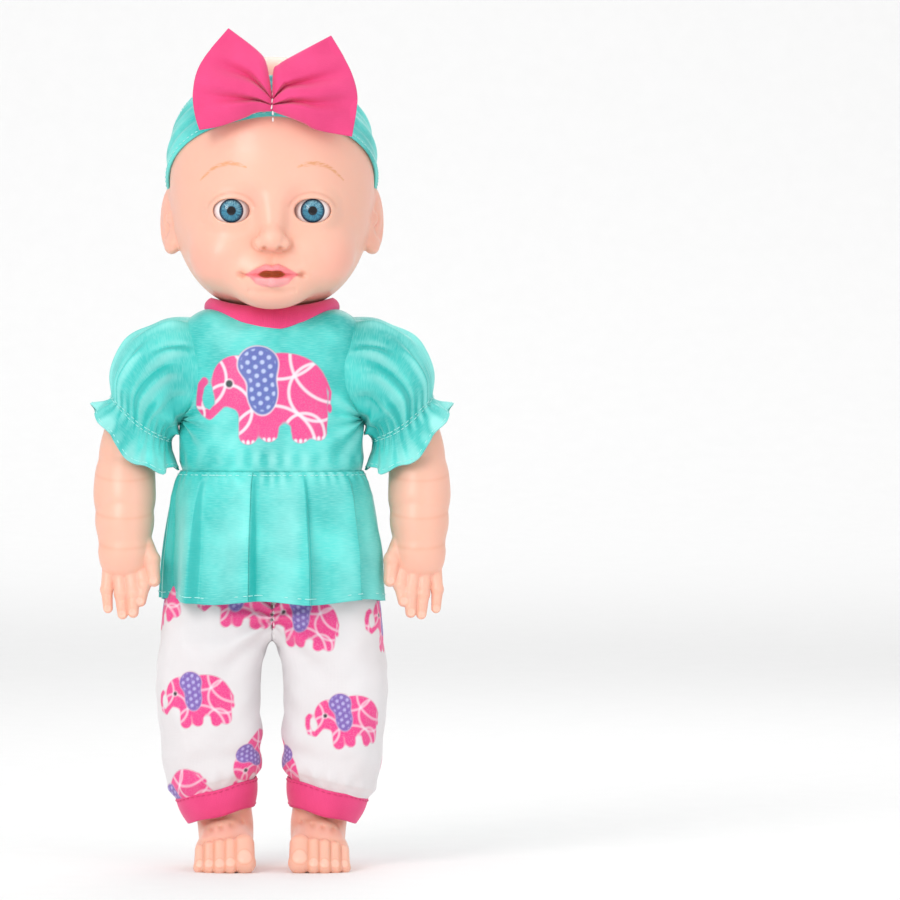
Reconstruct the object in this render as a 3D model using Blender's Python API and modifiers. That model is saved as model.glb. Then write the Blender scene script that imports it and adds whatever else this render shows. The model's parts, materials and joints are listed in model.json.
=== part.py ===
"""Interactive baby doll, 356 mm tall, dressed in a headband, a top with a peplum, and trousers.

Frame: +Z up, +X to the doll's left, the face looks along -Y. The origin is on the floor under the doll.
Lengths are in metres. Every solid is one piece of the doll, named as a person would name it on a bench.
The left limbs are modelled, and the right ones are their mirror copies.
"""

import math

import bmesh
import bpy
from mathutils import Matrix, Vector

# ---------------------------------------------------------------- driving dimensions
CROWN_Z = 0.356
HIP_Z = 0.116
SHOULDER_Z = 0.219
NECK_Y = 0.003
FIT_GAP = 0.0003

SHELL_WALL = 0.002
VINYL_WALL = 0.0025
CLOTH = 0.0012
BODY_SIDES = 20
INNER_SIDES = 14
ROUND_SIDES = 16

HEAD_BASE_Z = 0.2455
TORSO_TOP_Z = 0.241
WAIST_Z = 0.175
BELLY_CUT_R = 0.0285
THIGH_ROOM_Y = -0.0137
THIGH_ROOM_TOP = 0.0258
THIGH_ROOM_DROP = 0.02
WEB_HALF = 0.0065
SHOULDER_SEAT_X = 0.0362
ARMHOLE_R = 0.0243
# Half width and half depth of the neckline.
NECK_OVAL = (0.0280, 0.0238)
SLEEVE_X = 0.0413

# Torso sections: height, half width, half depth.
TORSO = (
    (0.1020, 0.0160, 0.0100),
    (0.1060, 0.0290, 0.0190),
    (0.1200, 0.0360, 0.0260),
    (0.1450, 0.0385, 0.0310),
    (0.1650, 0.0385, 0.0325),
    (0.1850, 0.0378, 0.0318),
    (0.2060, 0.0374, 0.0308),
    (0.2260, 0.0372, 0.0298),
    (0.2340, 0.0360, 0.0282),
    (0.2385, 0.0320, 0.0252),
    (TORSO_TOP_Z, 0.0230, 0.0200),
)
TORSO_POWER = 2.5

# Head sections: height, half width, half depth, and how far the centre lies behind the axis.
HEAD = (
    (HEAD_BASE_Z, 0.0200, 0.0250, -0.0040),
    (0.2480, 0.0265, 0.0330, -0.0070),
    (0.2560, 0.0340, 0.0400, -0.0040),
    (0.2660, 0.0388, 0.0450, -0.0010),
    (0.2770, 0.0422, 0.0475, 0.0010),
    (0.2900, 0.0440, 0.0495, 0.0020),
    (0.3050, 0.0450, 0.0505, 0.0030),
    (0.3200, 0.0440, 0.0495, 0.0030),
    (0.3340, 0.0398, 0.0450, 0.0030),
    (0.3450, 0.0325, 0.0365, 0.0030),
    (0.3525, 0.0210, 0.0240, 0.0030),
    (CROWN_Z, 0.0070, 0.0080, 0.0030),
)
HEAD_POWER = 2.1

EYE_X, EYE_Y, EYE_Z, EYE_R = 0.0175, -0.0343, 0.2880, 0.0095


# ---------------------------------------------------------------- scene and materials
for old in list(bpy.data.objects):
    bpy.data.objects.remove(old)

doll = bpy.data.collections.new("baby_doll")
cutters = bpy.data.collections.new("cutters")
for group in (doll, cutters):
    bpy.context.scene.collection.children.link(group)

FINISHES = {
    "vinyl_skin": ((0.89, 0.62, 0.47), 0.42, 0.0),
    "body_plastic": ((0.88, 0.64, 0.50), 0.38, 0.0),
    "eye_acrylic": ((0.14, 0.40, 0.58), 0.08, 0.0),
    "white_plastic": ((0.85, 0.85, 0.83), 0.40, 0.0),
    "aqua_satin": ((0.13, 0.76, 0.70), 0.38, 0.0),
    "pink_cloth": ((0.88, 0.10, 0.33), 0.62, 0.0),
    "white_cloth": ((0.90, 0.88, 0.89), 0.70, 0.0),
    "steel": ((0.62, 0.62, 0.64), 0.30, 1.0),
    "battery_jacket": ((0.10, 0.22, 0.12), 0.35, 0.2),
    "circuit_green": ((0.05, 0.26, 0.11), 0.45, 0.0),
    "black_plastic": ((0.03, 0.03, 0.03), 0.45, 0.0),
    "red_wire": ((0.60, 0.04, 0.03), 0.50, 0.0),
    "paper_cone": ((0.10, 0.10, 0.11), 0.80, 0.0),
}


def finish(name):
    """The material of that name, made once."""
    found = bpy.data.materials.get(name)
    if found:
        return found
    colour, roughness, metallic = FINISHES[name]
    made = bpy.data.materials.new(name)
    made.use_nodes = True
    shader = made.node_tree.nodes["Principled BSDF"]
    shader.inputs["Base Color"].default_value = (*colour, 1.0)
    shader.inputs["Roughness"].default_value = roughness
    shader.inputs["Metallic"].default_value = metallic
    return made


# ---------------------------------------------------------------- modelling helpers
def add(name, data, group=cutters):
    made = bpy.data.objects.new(name, data)
    group.objects.link(made)
    if group is cutters:
        made.hide_render = True
        made.display_type = "WIRE"
    return made


def from_bmesh(name, bm, group=cutters):
    mesh = bpy.data.meshes.new(name)
    bmesh.ops.recalc_face_normals(bm, faces=bm.faces)
    bm.to_mesh(mesh)
    bm.free()
    return add(name, mesh, group)


def as_part(made, name, material):
    """Makes a helper a visible part of the doll, with its modifiers applied."""
    bpy.context.view_layer.update()
    shape = made.evaluated_get(bpy.context.evaluated_depsgraph_get())
    mesh = bpy.data.meshes.new_from_object(shape)
    mesh.transform(made.matrix_world)
    mesh.materials.clear()
    mesh.materials.append(finish(material))
    mesh.shade_smooth()
    mesh.set_sharp_from_angle(angle=math.radians(35))
    bpy.data.objects.remove(made)
    mesh.name = name
    return add(name, mesh, doll)


def mirrored(part, name):
    """The other side's copy of a part that has no modifiers."""
    copy = add(name, part.data, doll)
    copy.scale.x = -1
    return copy


def cut(made, *tools, operation="DIFFERENCE"):
    for tool in tools:
        step = made.modifiers.new(operation.lower(), "BOOLEAN")
        step.operation = operation
        step.solver = "EXACT"
        step.object = tool
    return made


def join(made, *tools):
    return cut(made, *tools, operation="UNION")


def keep(made, *tools):
    return cut(made, *tools, operation="INTERSECT")


def superellipse(centre, half_u, half_v, u, v, power, sides):
    """Points of a closed section, in the plane of the directions u and v."""
    points = []
    for i in range(sides):
        angle = 2 * math.pi * i / sides
        c, s = math.cos(angle), math.sin(angle)
        a = math.copysign(abs(c) ** (2 / power), c) * half_u
        b = math.copysign(abs(s) ** (2 / power), s) * half_v
        points.append(Vector(centre) + a * u + b * v)
    return points


def loft(name, rings, capped=True):
    """A skin through sections that have the same number of points."""
    bm = bmesh.new()
    rows = [[bm.verts.new(p) for p in ring] for ring in rings]
    for low, high in zip(rows, rows[1:]):
        count = len(low)
        for i in range(count):
            j = (i + 1) % count
            bm.faces.new((low[i], low[j], high[j], high[i]))
    if capped:
        bm.faces.new(rows[0])
        bm.faces.new(rows[-1])
    return from_bmesh(name, bm)


def level_rings(sections, grow=0.0, power=2.0, sides=BODY_SIDES):
    """Level sections from (height, half width, half depth[, centre y]), all grown by the same amount."""
    rings = []
    for i, (z, half_x, half_y, *shift) in enumerate(sections):
        if i == 0:
            z -= grow
        if i == len(sections) - 1:
            z += grow
        centre = (0, shift[0] if shift else 0, z)
        rings.append(
            superellipse(
                centre, half_x + grow, half_y + grow, Vector((1, 0, 0)), Vector((0, 1, 0)), power, sides
            )
        )
    return rings


def box(name, low, high):
    bm = bmesh.new()
    bmesh.ops.create_cube(bm, size=1.0)
    size = Vector(high) - Vector(low)
    bmesh.ops.scale(bm, vec=size, verts=bm.verts)
    bmesh.ops.translate(bm, vec=(Vector(low) + Vector(high)) / 2, verts=bm.verts)
    return from_bmesh(name, bm)


def rod(name, start, end, radius, sides=ROUND_SIDES, end_radius=None):
    """A cylinder or cone between two points."""
    start, end = Vector(start), Vector(end)
    bm = bmesh.new()
    bmesh.ops.create_cone(
        bm,
        cap_ends=True,
        segments=sides,
        radius1=radius,
        radius2=radius if end_radius is None else end_radius,
        depth=(end - start).length,
    )
    turn = (end - start).to_track_quat("Z", "Y").to_matrix().to_4x4()
    bmesh.ops.transform(bm, matrix=Matrix.Translation((start + end) / 2) @ turn, verts=bm.verts)
    return from_bmesh(name, bm)


def ball(name, centre, radii, columns=16, rows=10, turn=None):
    bm = bmesh.new()
    bmesh.ops.create_uvsphere(bm, u_segments=columns, v_segments=rows, radius=1.0)
    place = Matrix.Translation(centre) @ (turn or Matrix()) @ Matrix.Diagonal((*radii, 1))
    bmesh.ops.transform(bm, matrix=place, verts=bm.verts)
    return from_bmesh(name, bm)


def turned(name, profile, centre, axis="Z", steps=ROUND_SIDES):
    """A turned piece. The profile's (radius, height) points run from its top to its bottom."""
    mesh = bpy.data.meshes.new(name)
    edges = [(i, i + 1) for i in range(len(profile) - 1)]
    if profile[0][0] > 0:
        edges.append((len(profile) - 1, 0))
    mesh.from_pydata([(r, 0, h) for r, h in profile], edges, [])
    made = add(name, mesh)
    made.location = centre
    made.rotation_euler = {"Z": (0, 0, 0), "X": (0, math.pi / 2, 0), "Y": (-math.pi / 2, 0, 0)}[axis]
    screw = made.modifiers.new("turn", "SCREW")
    screw.steps = screw.render_steps = steps
    screw.use_merge_vertices = True
    screw.merge_threshold = 0.00001
    return made


def tube(name, points, radii, sides_level=2):
    """A tube of changing radius along a path, closed at both ends, as a mesh."""
    curve = bpy.data.curves.new(name, "CURVE")
    curve.dimensions = "3D"
    curve.bevel_depth = 1.0
    curve.bevel_resolution = sides_level
    curve.use_fill_caps = True
    spline = curve.splines.new("POLY")
    spline.points.add(len(points) - 1)
    for point, co, radius in zip(spline.points, points, radii):
        point.co = (*co, 1)
        point.radius = radius
    made = add(name + "_path", curve)
    bpy.context.view_layer.update()
    mesh = bpy.data.meshes.new_from_object(made.evaluated_get(bpy.context.evaluated_depsgraph_get()))
    bm = bmesh.new()
    bm.from_mesh(mesh)
    bmesh.ops.remove_doubles(bm, verts=bm.verts, dist=0.00001)
    bpy.data.objects.remove(made)
    return from_bmesh(name, bm)


def capsule(name, start, end, radius, end_radius=None, sides_level=1):
    """A finger or toe: a short tube with tapered, rounded ends."""
    start, end = Vector(start), Vector(end)
    tip = radius if end_radius is None else end_radius
    along = (end - start).normalized()
    points = (
        start - along * radius * 0.6,
        start,
        end,
        end + along * tip * 0.62,
        end + along * tip,
    )
    return tube(name, points, (radius * 0.7, radius, tip, tip * 0.75, tip * 0.3), sides_level)


# ---------------------------------------------------------------- torso
def hip_clearance(name, grow=0.0):
    """On each side, a round hollow that the top of the leg turns in, and room for the raised thigh."""
    spaces = []
    radius = BELLY_CUT_R + grow
    inner_x, outer_x = WEB_HALF - grow, 0.060
    for side in (-1, 1):
        start, end = (side * inner_x, 0, HIP_Z), (side * outer_x, 0, HIP_Z)
        spaces.append(rod(f"{name}_{side}", start, end, radius, sides=24))
        near, far = sorted((side * (inner_x + FIT_GAP), side * (outer_x + FIT_GAP)))
        low = (near, -0.09, HIP_Z - THIGH_ROOM_DROP)
        high = (far, THIGH_ROOM_Y + grow, HIP_Z + THIGH_ROOM_TOP + grow)
        spaces.append(box(f"{name}_thigh_{side}", low, high))
    return spaces


def torso_solid(name, grow):
    """The torso's outer form, grown or shrunk, with its hip hollows."""
    sides = BODY_SIDES if grow >= 0 else INNER_SIDES
    body = loft(name, level_rings(TORSO, grow, TORSO_POWER, sides))
    return cut(body, *hip_clearance(name + "_hip", -min(grow, 0)))


BATTERY_BAY_LOW = Vector((-0.0197, 0.0100, 0.1560))
BATTERY_BAY_HIGH = Vector((0.0197, 0.0600, 0.2125))
SPEAKER_Z = 0.2080
BUTTON_Z = 0.1830
BUTTON_R = 0.0075
SWITCH_Z = 0.1495
COVER_SCREW_Z = 0.1588
SCREW_PLACES = ((0.0262, 0.1540), (0.0262, 0.2270))


def along_y(name, x, z, low_y, high_y, radius, sides=8):
    """A round bar or hole that runs from front to back."""
    return rod(name, (x, low_y, z), (x, high_y, z), radius, sides)


def along_x(name, hand, low_x, high_x, z, radius):
    """A round bar or hole that runs outwards on one side of the doll, on a joint's axis."""
    return rod(name, (hand * low_x, 0, z), (hand * high_x, 0, z), radius)


def torso_shell(name, front):
    """One half of the torso: a thin shell with screw bosses, split on the plane of the limb joints."""
    side = -1 if front else 1
    near, far = sorted((side * FIT_GAP / 2, side * 0.1))
    half = box(name + "_half", (-0.1, near, 0.0), (0.1, far, 0.4))
    outer = torso_solid(name + "_outer", 0.0)
    inner = torso_solid(name + "_inner", -SHELL_WALL)
    cut(outer, inner)
    for index, (x, z) in enumerate(SCREW_PLACES):
        for hand in (-1, 1):
            tag = f"{name}_{index}_{hand}"
            post = along_y(tag + "_boss", hand * x, z, side * 0.0006, side * 0.0235, 0.0031, 10)
            keep(post, torso_solid(tag + "_post_limit", -0.0008))
            join(outer, post)
            cut(outer, along_y(tag + "_hole", hand * x, z, -0.0160, 0.0400, 0.0014))
            if not front:
                cut(outer, along_y(tag + "_sink", hand * x, z, 0.0122, 0.0400, 0.0027))
    keep(outer, half)
    for hand in (-1, 1):
        tag = f"{name}_{hand}"
        cut(
            outer,
            along_x(tag + "_arm_bore", hand, 0.025, 0.05, SHOULDER_Z, 0.0083),
            along_x(tag + "_arm_seat", hand, SHOULDER_SEAT_X, 0.05, SHOULDER_Z, 0.0150),
            along_x(tag + "_hip_bore", hand, 0.002, 0.02, HIP_Z, 0.0063),
        )
    cut(outer, rod(name + "_neck_bore", (0, NECK_Y, 0.23), (0, NECK_Y, 0.26), 0.0134, sides=18))
    return outer


def make_torso():
    front = torso_shell("torso_front", True)
    for index in range(7):
        angle = index * math.pi / 3
        reach = 0.0 if index == 6 else 0.0048
        x, z = reach * math.cos(angle), SPEAKER_Z + reach * math.sin(angle)
        cut(front, rod(f"grille_{index}", (x, -0.05, z), (x, -0.02, z), 0.0011, sides=6))
    cut(front, rod("button_hole", (0, -0.05, BUTTON_Z), (0, -0.02, BUTTON_Z), BUTTON_R + FIT_GAP))
    as_part(front, "torso_front_shell", "body_plastic")

    back = torso_shell("torso_back", False)
    cut(
        back,
        box("battery_bay", BATTERY_BAY_LOW, BATTERY_BAY_HIGH),
        box("switch_slot", (-0.0042, 0.02, SWITCH_Z - 0.0022), (0.0042, 0.05, SWITCH_Z + 0.0022)),
    )
    lug = box("cover_lug", (-0.0040, 0.0248, 0.1530), (0.0040, 0.0289, 0.1592))
    join(lug, box("cover_lug_root", (-0.0040, 0.0260, 0.1530), (0.0040, 0.0305, 0.1556)))
    join(back, lug)
    cut(back, along_y("cover_lug_hole", 0, COVER_SCREW_Z, 0.0200, 0.0400, 0.0014))
    as_part(back, "torso_back_shell", "body_plastic")

    cover = torso_solid("battery_cover_outer", 0.0)
    cut(cover, torso_solid("battery_cover_inner", -SHELL_WALL))
    edge = Vector((FIT_GAP, 0, FIT_GAP))
    keep(cover, box("battery_cover_limit", BATTERY_BAY_LOW + edge, BATTERY_BAY_HIGH - edge))
    cut(
        cover,
        along_y("battery_cover_hole", 0, COVER_SCREW_Z, 0.01, 0.05, 0.0014),
        along_y("battery_cover_sink", 0, COVER_SCREW_Z, 0.0307, 0.05, 0.0022, 10),
    )
    as_part(cover, "battery_cover", "body_plastic")

    neck = turned(
        "neck",
        (
            (0.0, 0.2510),
            (0.0150, 0.2510),
            (0.0175, 0.2500),
            (0.0175, 0.2484),
            (0.0132, 0.2484),
            (0.0132, 0.2452),
            (0.0160, 0.2452),
            (0.0160, 0.2413),
            (0.0130, 0.2413),
            (0.0130, 0.2387),
            (0.0142, 0.2387),
            (0.0142, 0.2362),
            (0.0, 0.2362),
        ),
        (0, NECK_Y, 0),
        steps=18,
    )
    as_part(neck, "neck_flange", "white_plastic")


# ---------------------------------------------------------------- electronics in the torso
CELL_R = 0.00515
CELL_PITCH = 0.0112
CELL_Y = 0.0182
CELL_Z = (0.1646, 0.2078)
BOX_LOW = Vector((-0.0186, 0.0112, 0.1590))
BOX_HIGH = Vector((0.0186, 0.0240, 0.2108))
BOX_WALL = 0.0011
BOARD_Y = (-0.0150, -0.0134)
WIRE_R = 0.0006
# The red wires' paths. The black ones run beside them, on the doll's other side.
WIRES = {
    "speaker_wire": (
        (0.0065, -0.0158, 0.2030),
        (0.0072, -0.0135, 0.2010),
        (0.0078, -0.0112, 0.1960),
        (0.0078, -0.0104, 0.1900),
        (0.0076, -0.0108, 0.1862),
        (0.0074, -0.0126, 0.1850),
    ),
    "battery_wire": (
        (0.0110, 0.0106, 0.1900),
        (0.0112, 0.0070, 0.1890),
        (0.0114, 0.0020, 0.1865),
        (0.0114, -0.0040, 0.1840),
        (0.0112, -0.0095, 0.1822),
        (0.0110, -0.0128, 0.1816),
    ),
}


def make_battery_box():
    tray = box("tray", BOX_LOW, BOX_HIGH)
    wall = Vector((BOX_WALL, BOX_WALL, BOX_WALL))
    hollow_high = BOX_HIGH - wall
    hollow_high.y = BOX_HIGH.y + 0.01
    cut(tray, box("tray_hollow", BOX_LOW + wall, hollow_high))
    as_part(tray, "battery_box", "black_plastic")
    inner_low, inner_high = BOX_LOW.z + BOX_WALL, BOX_HIGH.z - BOX_WALL
    for name, low_z in (("bottom", inner_low + 0.0002), ("top", inner_high - 0.0006)):
        plate = box(
            f"plate_{name}",
            (BOX_LOW.x + 0.0022, BOX_LOW.y + 0.0020, low_z),
            (BOX_HIGH.x - 0.0022, BOX_HIGH.y - 0.0020, low_z + 0.0004),
        )
        as_part(plate, f"battery_contact_{name}", "steel")
    for index in range(3):
        x = (index - 1) * CELL_PITCH
        low, high = CELL_Z
        cell = turned(
            f"cell_{index}",
            (
                (0.0, high + 0.0010),
                (0.0019, high + 0.0010),
                (0.0019, high),
                (CELL_R - 0.0004, high),
                (CELL_R, high - 0.0004),
                (CELL_R, low + 0.0004),
                (CELL_R - 0.0004, low),
                (0.0, low),
            ),
            (x, CELL_Y, 0),
            steps=12,
        )
        as_part(cell, f"battery_{index + 1}", "battery_jacket")
        turns, per_turn, coil_r = 2.5, 7, 0.0029
        low_z, high_z = inner_low + 0.0012, low - 0.0007
        count = int(turns * per_turn)
        path = []
        for i in range(count + 1):
            angle = 2 * math.pi * i / per_turn
            share = i / count
            reach = coil_r * (1 - 0.45 * share)
            across = (x + reach * math.cos(angle), CELL_Y + reach * math.sin(angle))
            path.append((*across, low_z + (high_z - low_z) * share))
        spring = tube(f"spring_{index}", path, [0.0003] * len(path), 0)
        as_part(spring, f"battery_spring_{index + 1}", "steel")


def make_sound_unit():
    front_y = -0.0245
    speaker = turned(
        "speaker",
        (
            (0.0, -0.0018),
            (0.0090, 0.0),
            (0.0140, 0.0),
            (0.0140, -0.0014),
            (0.0085, -0.0040),
            (0.0080, -0.0040),
            (0.0080, -0.0078),
            (0.0, -0.0078),
        ),
        (0, front_y, SPEAKER_Z),
        axis="Y",
    )
    speaker.rotation_euler = (math.pi / 2, 0, 0)
    as_part(speaker, "speaker", "paper_cone")

    board = box("board", (-0.0190, BOARD_Y[0], 0.1560), (0.0190, BOARD_Y[1], 0.1910))
    as_part(board, "circuit_board", "circuit_green")
    chip = box("chip", (-0.0060, BOARD_Y[1] + FIT_GAP, 0.1660), (0.0060, BOARD_Y[1] + 0.0020, 0.1780))
    as_part(chip, "sound_chip", "black_plastic")
    face = BOARD_Y[0]
    low, high = (-0.0030, face - 0.0042, BUTTON_Z - 0.0030), (0.0030, face - FIT_GAP, BUTTON_Z + 0.0030)
    switch = box("tact", low, high)
    join(switch, along_y("tact_nub", 0, BUTTON_Z, face - 0.0052, face - 0.0020, 0.0016, 12))
    as_part(switch, "button_switch", "black_plastic")

    button = turned(
        "button",
        (
            (0.0, 0.0099),
            (0.0060, 0.0098),
            (BUTTON_R, 0.0090),
            (BUTTON_R, 0.0058),
            (0.0090, 0.0056),
            (0.0090, 0.0046),
            (0.0028, 0.0044),
            (0.0028, 0.0),
            (0.0, 0.0),
        ),
        (0, -0.0225, BUTTON_Z),
    )
    button.rotation_euler = (math.pi / 2, 0, 0)
    as_part(button, "belly_button", "pink_cloth")

    body = box("switch_body", (-0.0055, 0.0190, SWITCH_Z - 0.0030), (0.0055, 0.0240, SWITCH_Z + 0.0030))
    as_part(body, "power_switch_body", "black_plastic")
    knob = box("switch_knob", (-0.0036, 0.0243, SWITCH_Z - 0.0017), (-0.0004, 0.0305, SWITCH_Z + 0.0017))
    as_part(knob, "power_switch_knob", "white_plastic")

    for name, points in WIRES.items():
        for colour, hand, material in (("red", 1, "red_wire"), ("black", -1, "black_plastic")):
            path = [(hand * x, y, z) for x, y, z in points]
            wire = tube(f"{name}_{colour}", path, [WIRE_R] * len(path), 0)
            as_part(wire, f"{name}_{colour}", material)


def screw(name, place, length, head_r, shaft_r):
    """A screw that points to the front. The place is its head's outer face."""
    shape = turned(
        name,
        (
            (0.0, 0.0),
            (head_r * 0.8, 0.0),
            (head_r, -0.0004),
            (head_r, -0.0008),
            (shaft_r, -0.0010),
            (shaft_r, -length + 0.0010),
            (0.0, -length),
        ),
        place,
        steps=10,
    )
    shape.rotation_euler = (-math.pi / 2, 0, 0)
    return as_part(shape, name, "steel")


def make_screws():
    index = 0
    for x, z in SCREW_PLACES:
        for hand in (-1, 1):
            index += 1
            # The head sits in the back boss, and the shaft reaches the front one.
            screw(f"shell_screw_{index}", (hand * x, 0.0143, z), 0.0250, 0.0023, 0.0011)
    screw("battery_cover_screw", (0, 0.0318, COVER_SCREW_Z), 0.0058, 0.0019, 0.0010)


# ---------------------------------------------------------------- head
def make_head():
    head = loft("head", level_rings(HEAD, 0.0, HEAD_POWER))
    for hand in (-1, 1):
        join(head, ball(f"ear_{hand}", (hand * 0.0428, 0.0050, 0.2810), (0.0055, 0.0085, 0.0155), 10, 8))
    join(head, ball("nose", (0, -0.0470, 0.2750), (0.0075, 0.0065, 0.0060), 10, 8))
    cut(head, loft("head_inner", level_rings(HEAD, -VINYL_WALL, HEAD_POWER, INNER_SIDES)))
    for hand in (-1, 1):
        centre = Vector((hand * EYE_X, EYE_Y, EYE_Z))
        slot = rod(f"lids_{hand}", centre, centre + Vector((0, -0.03, 0)), 0.0078, sides=14)
        flatten = Matrix.Diagonal((1, 1, 0.72, 1))
        slot.data.transform(Matrix.Translation(centre) @ flatten @ Matrix.Translation(-centre))
        cut(head, slot, ball(f"eye_seat_{hand}", centre, [EYE_R + 2 * FIT_GAP] * 3, 14, 10))
    cut(head, rod("neck_hole", (0, NECK_Y, 0.23), (0, NECK_Y, 0.2550), 0.0137, sides=18))
    cut(head, ball("mouth", (0, -0.0462, 0.2600), (0.0060, 0.0030, 0.0020), 14, 8))
    as_part(head, "head_shell", "vinyl_skin")

    centre = Vector((EYE_X, EYE_Y, EYE_Z))
    eye = as_part(ball("eye", centre, [EYE_R] * 3, 14, 8), "eye_left", "eye_acrylic")
    mirrored(eye, "eye_right")
    holder = ball("holder", centre, [EYE_R + 0.0026] * 3, 12, 8)
    cut(holder, ball("holder_seat", centre, [EYE_R + 0.0011] * 3, 12, 8))
    low, high = centre + Vector((-0.03, -0.03, -0.03)), centre + Vector((0.03, 0.0036, 0.03))
    cut(holder, box("holder_front", low, high))
    cup = as_part(holder, "eye_holder_left", "white_plastic")
    mirrored(cup, "eye_holder_right")


BAND_TILT = math.radians(33)
BAND_WIDTH = 0.0245
BAND_CENTRE = (0, 0.003, 0.3155)


def make_headwear():
    band = loft("band", level_rings(HEAD, FIT_GAP + CLOTH, HEAD_POWER))
    cut(band, loft("band_inner", level_rings(HEAD, FIT_GAP, HEAD_POWER)))
    slab = box("band_slab", (-0.1, -0.1, -BAND_WIDTH / 2), (0.1, 0.1, BAND_WIDTH / 2))
    slab.data.transform(Matrix.Translation(BAND_CENTRE) @ Matrix.Rotation(-BAND_TILT, 4, "X"))
    keep(band, slab)
    as_part(band, "headband", "aqua_satin")

    # The bow's outline, seen from the front: (x, z) from its knot.
    outline = (
        (0.0, 0.0060),
        (0.0045, 0.0130),
        (0.0265, 0.0322),
        (0.0335, 0.0100),
        (0.0345, -0.0140),
        (0.0160, -0.0095),
        (0.0, -0.0050),
    )
    shape = [(x, z) for x, z in outline] + [(-x, z) for x, z in reversed(outline[1:-1])]
    curve = bpy.data.curves.new("bow", "CURVE")
    curve.dimensions = "2D"
    curve.fill_mode = "BOTH"
    curve.extrude = 0.0030
    spline = curve.splines.new("POLY")
    spline.points.add(len(shape) - 1)
    spline.use_cyclic_u = True
    for point, (x, z) in zip(spline.points, shape):
        point.co = (x, z, 0, 1)
    bow = add("bow_outline", curve)
    bow.location = (0, -0.0467, 0.3370)
    bow.rotation_euler = (math.radians(72), 0, 0)
    bpy.context.view_layer.update()
    mesh = bpy.data.meshes.new_from_object(bow.evaluated_get(bpy.context.evaluated_depsgraph_get()))
    mesh.transform(bow.matrix_world)
    bpy.data.objects.remove(bow)
    bm = bmesh.new()
    bm.from_mesh(mesh)
    bmesh.ops.remove_doubles(bm, verts=bm.verts, dist=0.00001)
    wings = from_bmesh("bow_solid", bm)
    cut(wings, loft("bow_clear", level_rings(HEAD, 2 * FIT_GAP + CLOTH, HEAD_POWER)))
    as_part(wings, "bow", "pink_cloth")


# ---------------------------------------------------------------- arms
# The left arm's centre line from the shoulder to the wrist, and its radius at each point.
ARM_LINE = (
    ((0.0500, 0.0000, 0.2290), 0.0085),
    ((0.0505, 0.0000, 0.2240), 0.0110),
    ((0.0525, 0.0000, 0.2130), 0.0120),
    ((0.0570, -0.0010, 0.1980), 0.0128),
    ((0.0615, -0.0035, 0.1820), 0.0128),
    ((0.0632, -0.0070, 0.1680), 0.0127),
    ((0.0636, -0.0110, 0.1540), 0.0122),
    ((0.0636, -0.0130, 0.1450), 0.0112),
    ((0.0636, -0.0145, 0.1390), 0.0115),
)
PALM_CENTRE = (0.0640, -0.0150, 0.1335)
PALM_RADII = (0.0125, 0.0080, 0.0130)
# Fingers: (start, end, radius at the root, radius at the tip), from the index outwards, then the thumb.
FINGERS = (
    ((0.0585, -0.0160, 0.1260), (0.0565, -0.0205, 0.1155), 0.0034, 0.0028),
    ((0.0632, -0.0155, 0.1250), (0.0615, -0.0200, 0.1118), 0.0034, 0.0028),
    ((0.0678, -0.0150, 0.1250), (0.0668, -0.0190, 0.1122), 0.0033, 0.0027),
    ((0.0720, -0.0145, 0.1275), (0.0722, -0.0175, 0.1168), 0.0030, 0.0025),
    ((0.0562, -0.0165, 0.1385), (0.0535, -0.0200, 0.1275), 0.0036, 0.0029),
)
ARM_PLUG_R = 0.0097


def make_arms():
    points, radii = zip(*ARM_LINE)
    arm = tube("arm", points, radii, 3)
    start, end = (0.0388, 0, SHOULDER_Z), (0.0520, 0, SHOULDER_Z)
    shoulder = rod("shoulder_disc", start, end, 0.0130, 18, end_radius=0.0115)
    palm = ball("palm", PALM_CENTRE, PALM_RADII, 14, 10)
    join(arm, shoulder, palm)
    for index, finger in enumerate(FINGERS):
        join(arm, capsule(f"finger_{index}", *finger))
    inner = [(p, r - VINYL_WALL) for p, r in ARM_LINE[1:-2]]
    hollow = tube("arm_hollow", [p for p, _ in inner], [r for _, r in inner], 1)
    bore = rod("arm_mouth", (0.0300, 0, SHOULDER_Z), (0.0520, 0, SHOULDER_Z), ARM_PLUG_R + FIT_GAP)
    pocket = rod("arm_pocket", (0.0410, 0, SHOULDER_Z), (0.0500, 0, SHOULDER_Z), 0.0106, end_radius=0.0090)
    arm = cut(arm, hollow, bore, pocket)
    left = as_part(arm, "arm_left", "vinyl_skin")
    mirrored(left, "arm_right")

    plug = turned(
        "shoulder_plug",
        (
            (0.0, 0.0440),
            (ARM_PLUG_R, 0.0440),
            (ARM_PLUG_R, 0.0370),
            (0.0079, 0.0370),
            (0.0079, 0.0330),
            (0.0098, 0.0330),
            (0.0098, 0.0306),
            (0.0, 0.0306),
        ),
        (0, 0, SHOULDER_Z),
        axis="X",
    )
    pin = as_part(plug, "shoulder_plug_left", "white_plastic")
    mirrored(pin, "shoulder_plug_right")


# ---------------------------------------------------------------- legs
LEG_LINE = (
    ((0.0290, 0.0000, 0.1290), 0.0120),
    ((0.0290, 0.0000, 0.1230), 0.0175),
    ((0.0290, 0.0000, 0.1100), 0.0192),
    ((0.0288, -0.0010, 0.0920), 0.0190),
    ((0.0280, -0.0015, 0.0740), 0.0188),
    ((0.0262, -0.0010, 0.0560), 0.0172),
    ((0.0235, 0.0005, 0.0400), 0.0152),
    ((0.0210, 0.0030, 0.0260), 0.0120),
    ((0.0200, 0.0030, 0.0160), 0.0118),
    ((0.0200, 0.0010, -0.0020), 0.0110),
)
FOOT_CENTRE = (0.0195, -0.0120, 0.0085)
FOOT_RADII = (0.0132, 0.0230, 0.0115)
HIP_DISC_R = 0.0215
HIP_FACE_X = 0.0098
HIP_PLUG_R = 0.0082


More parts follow.
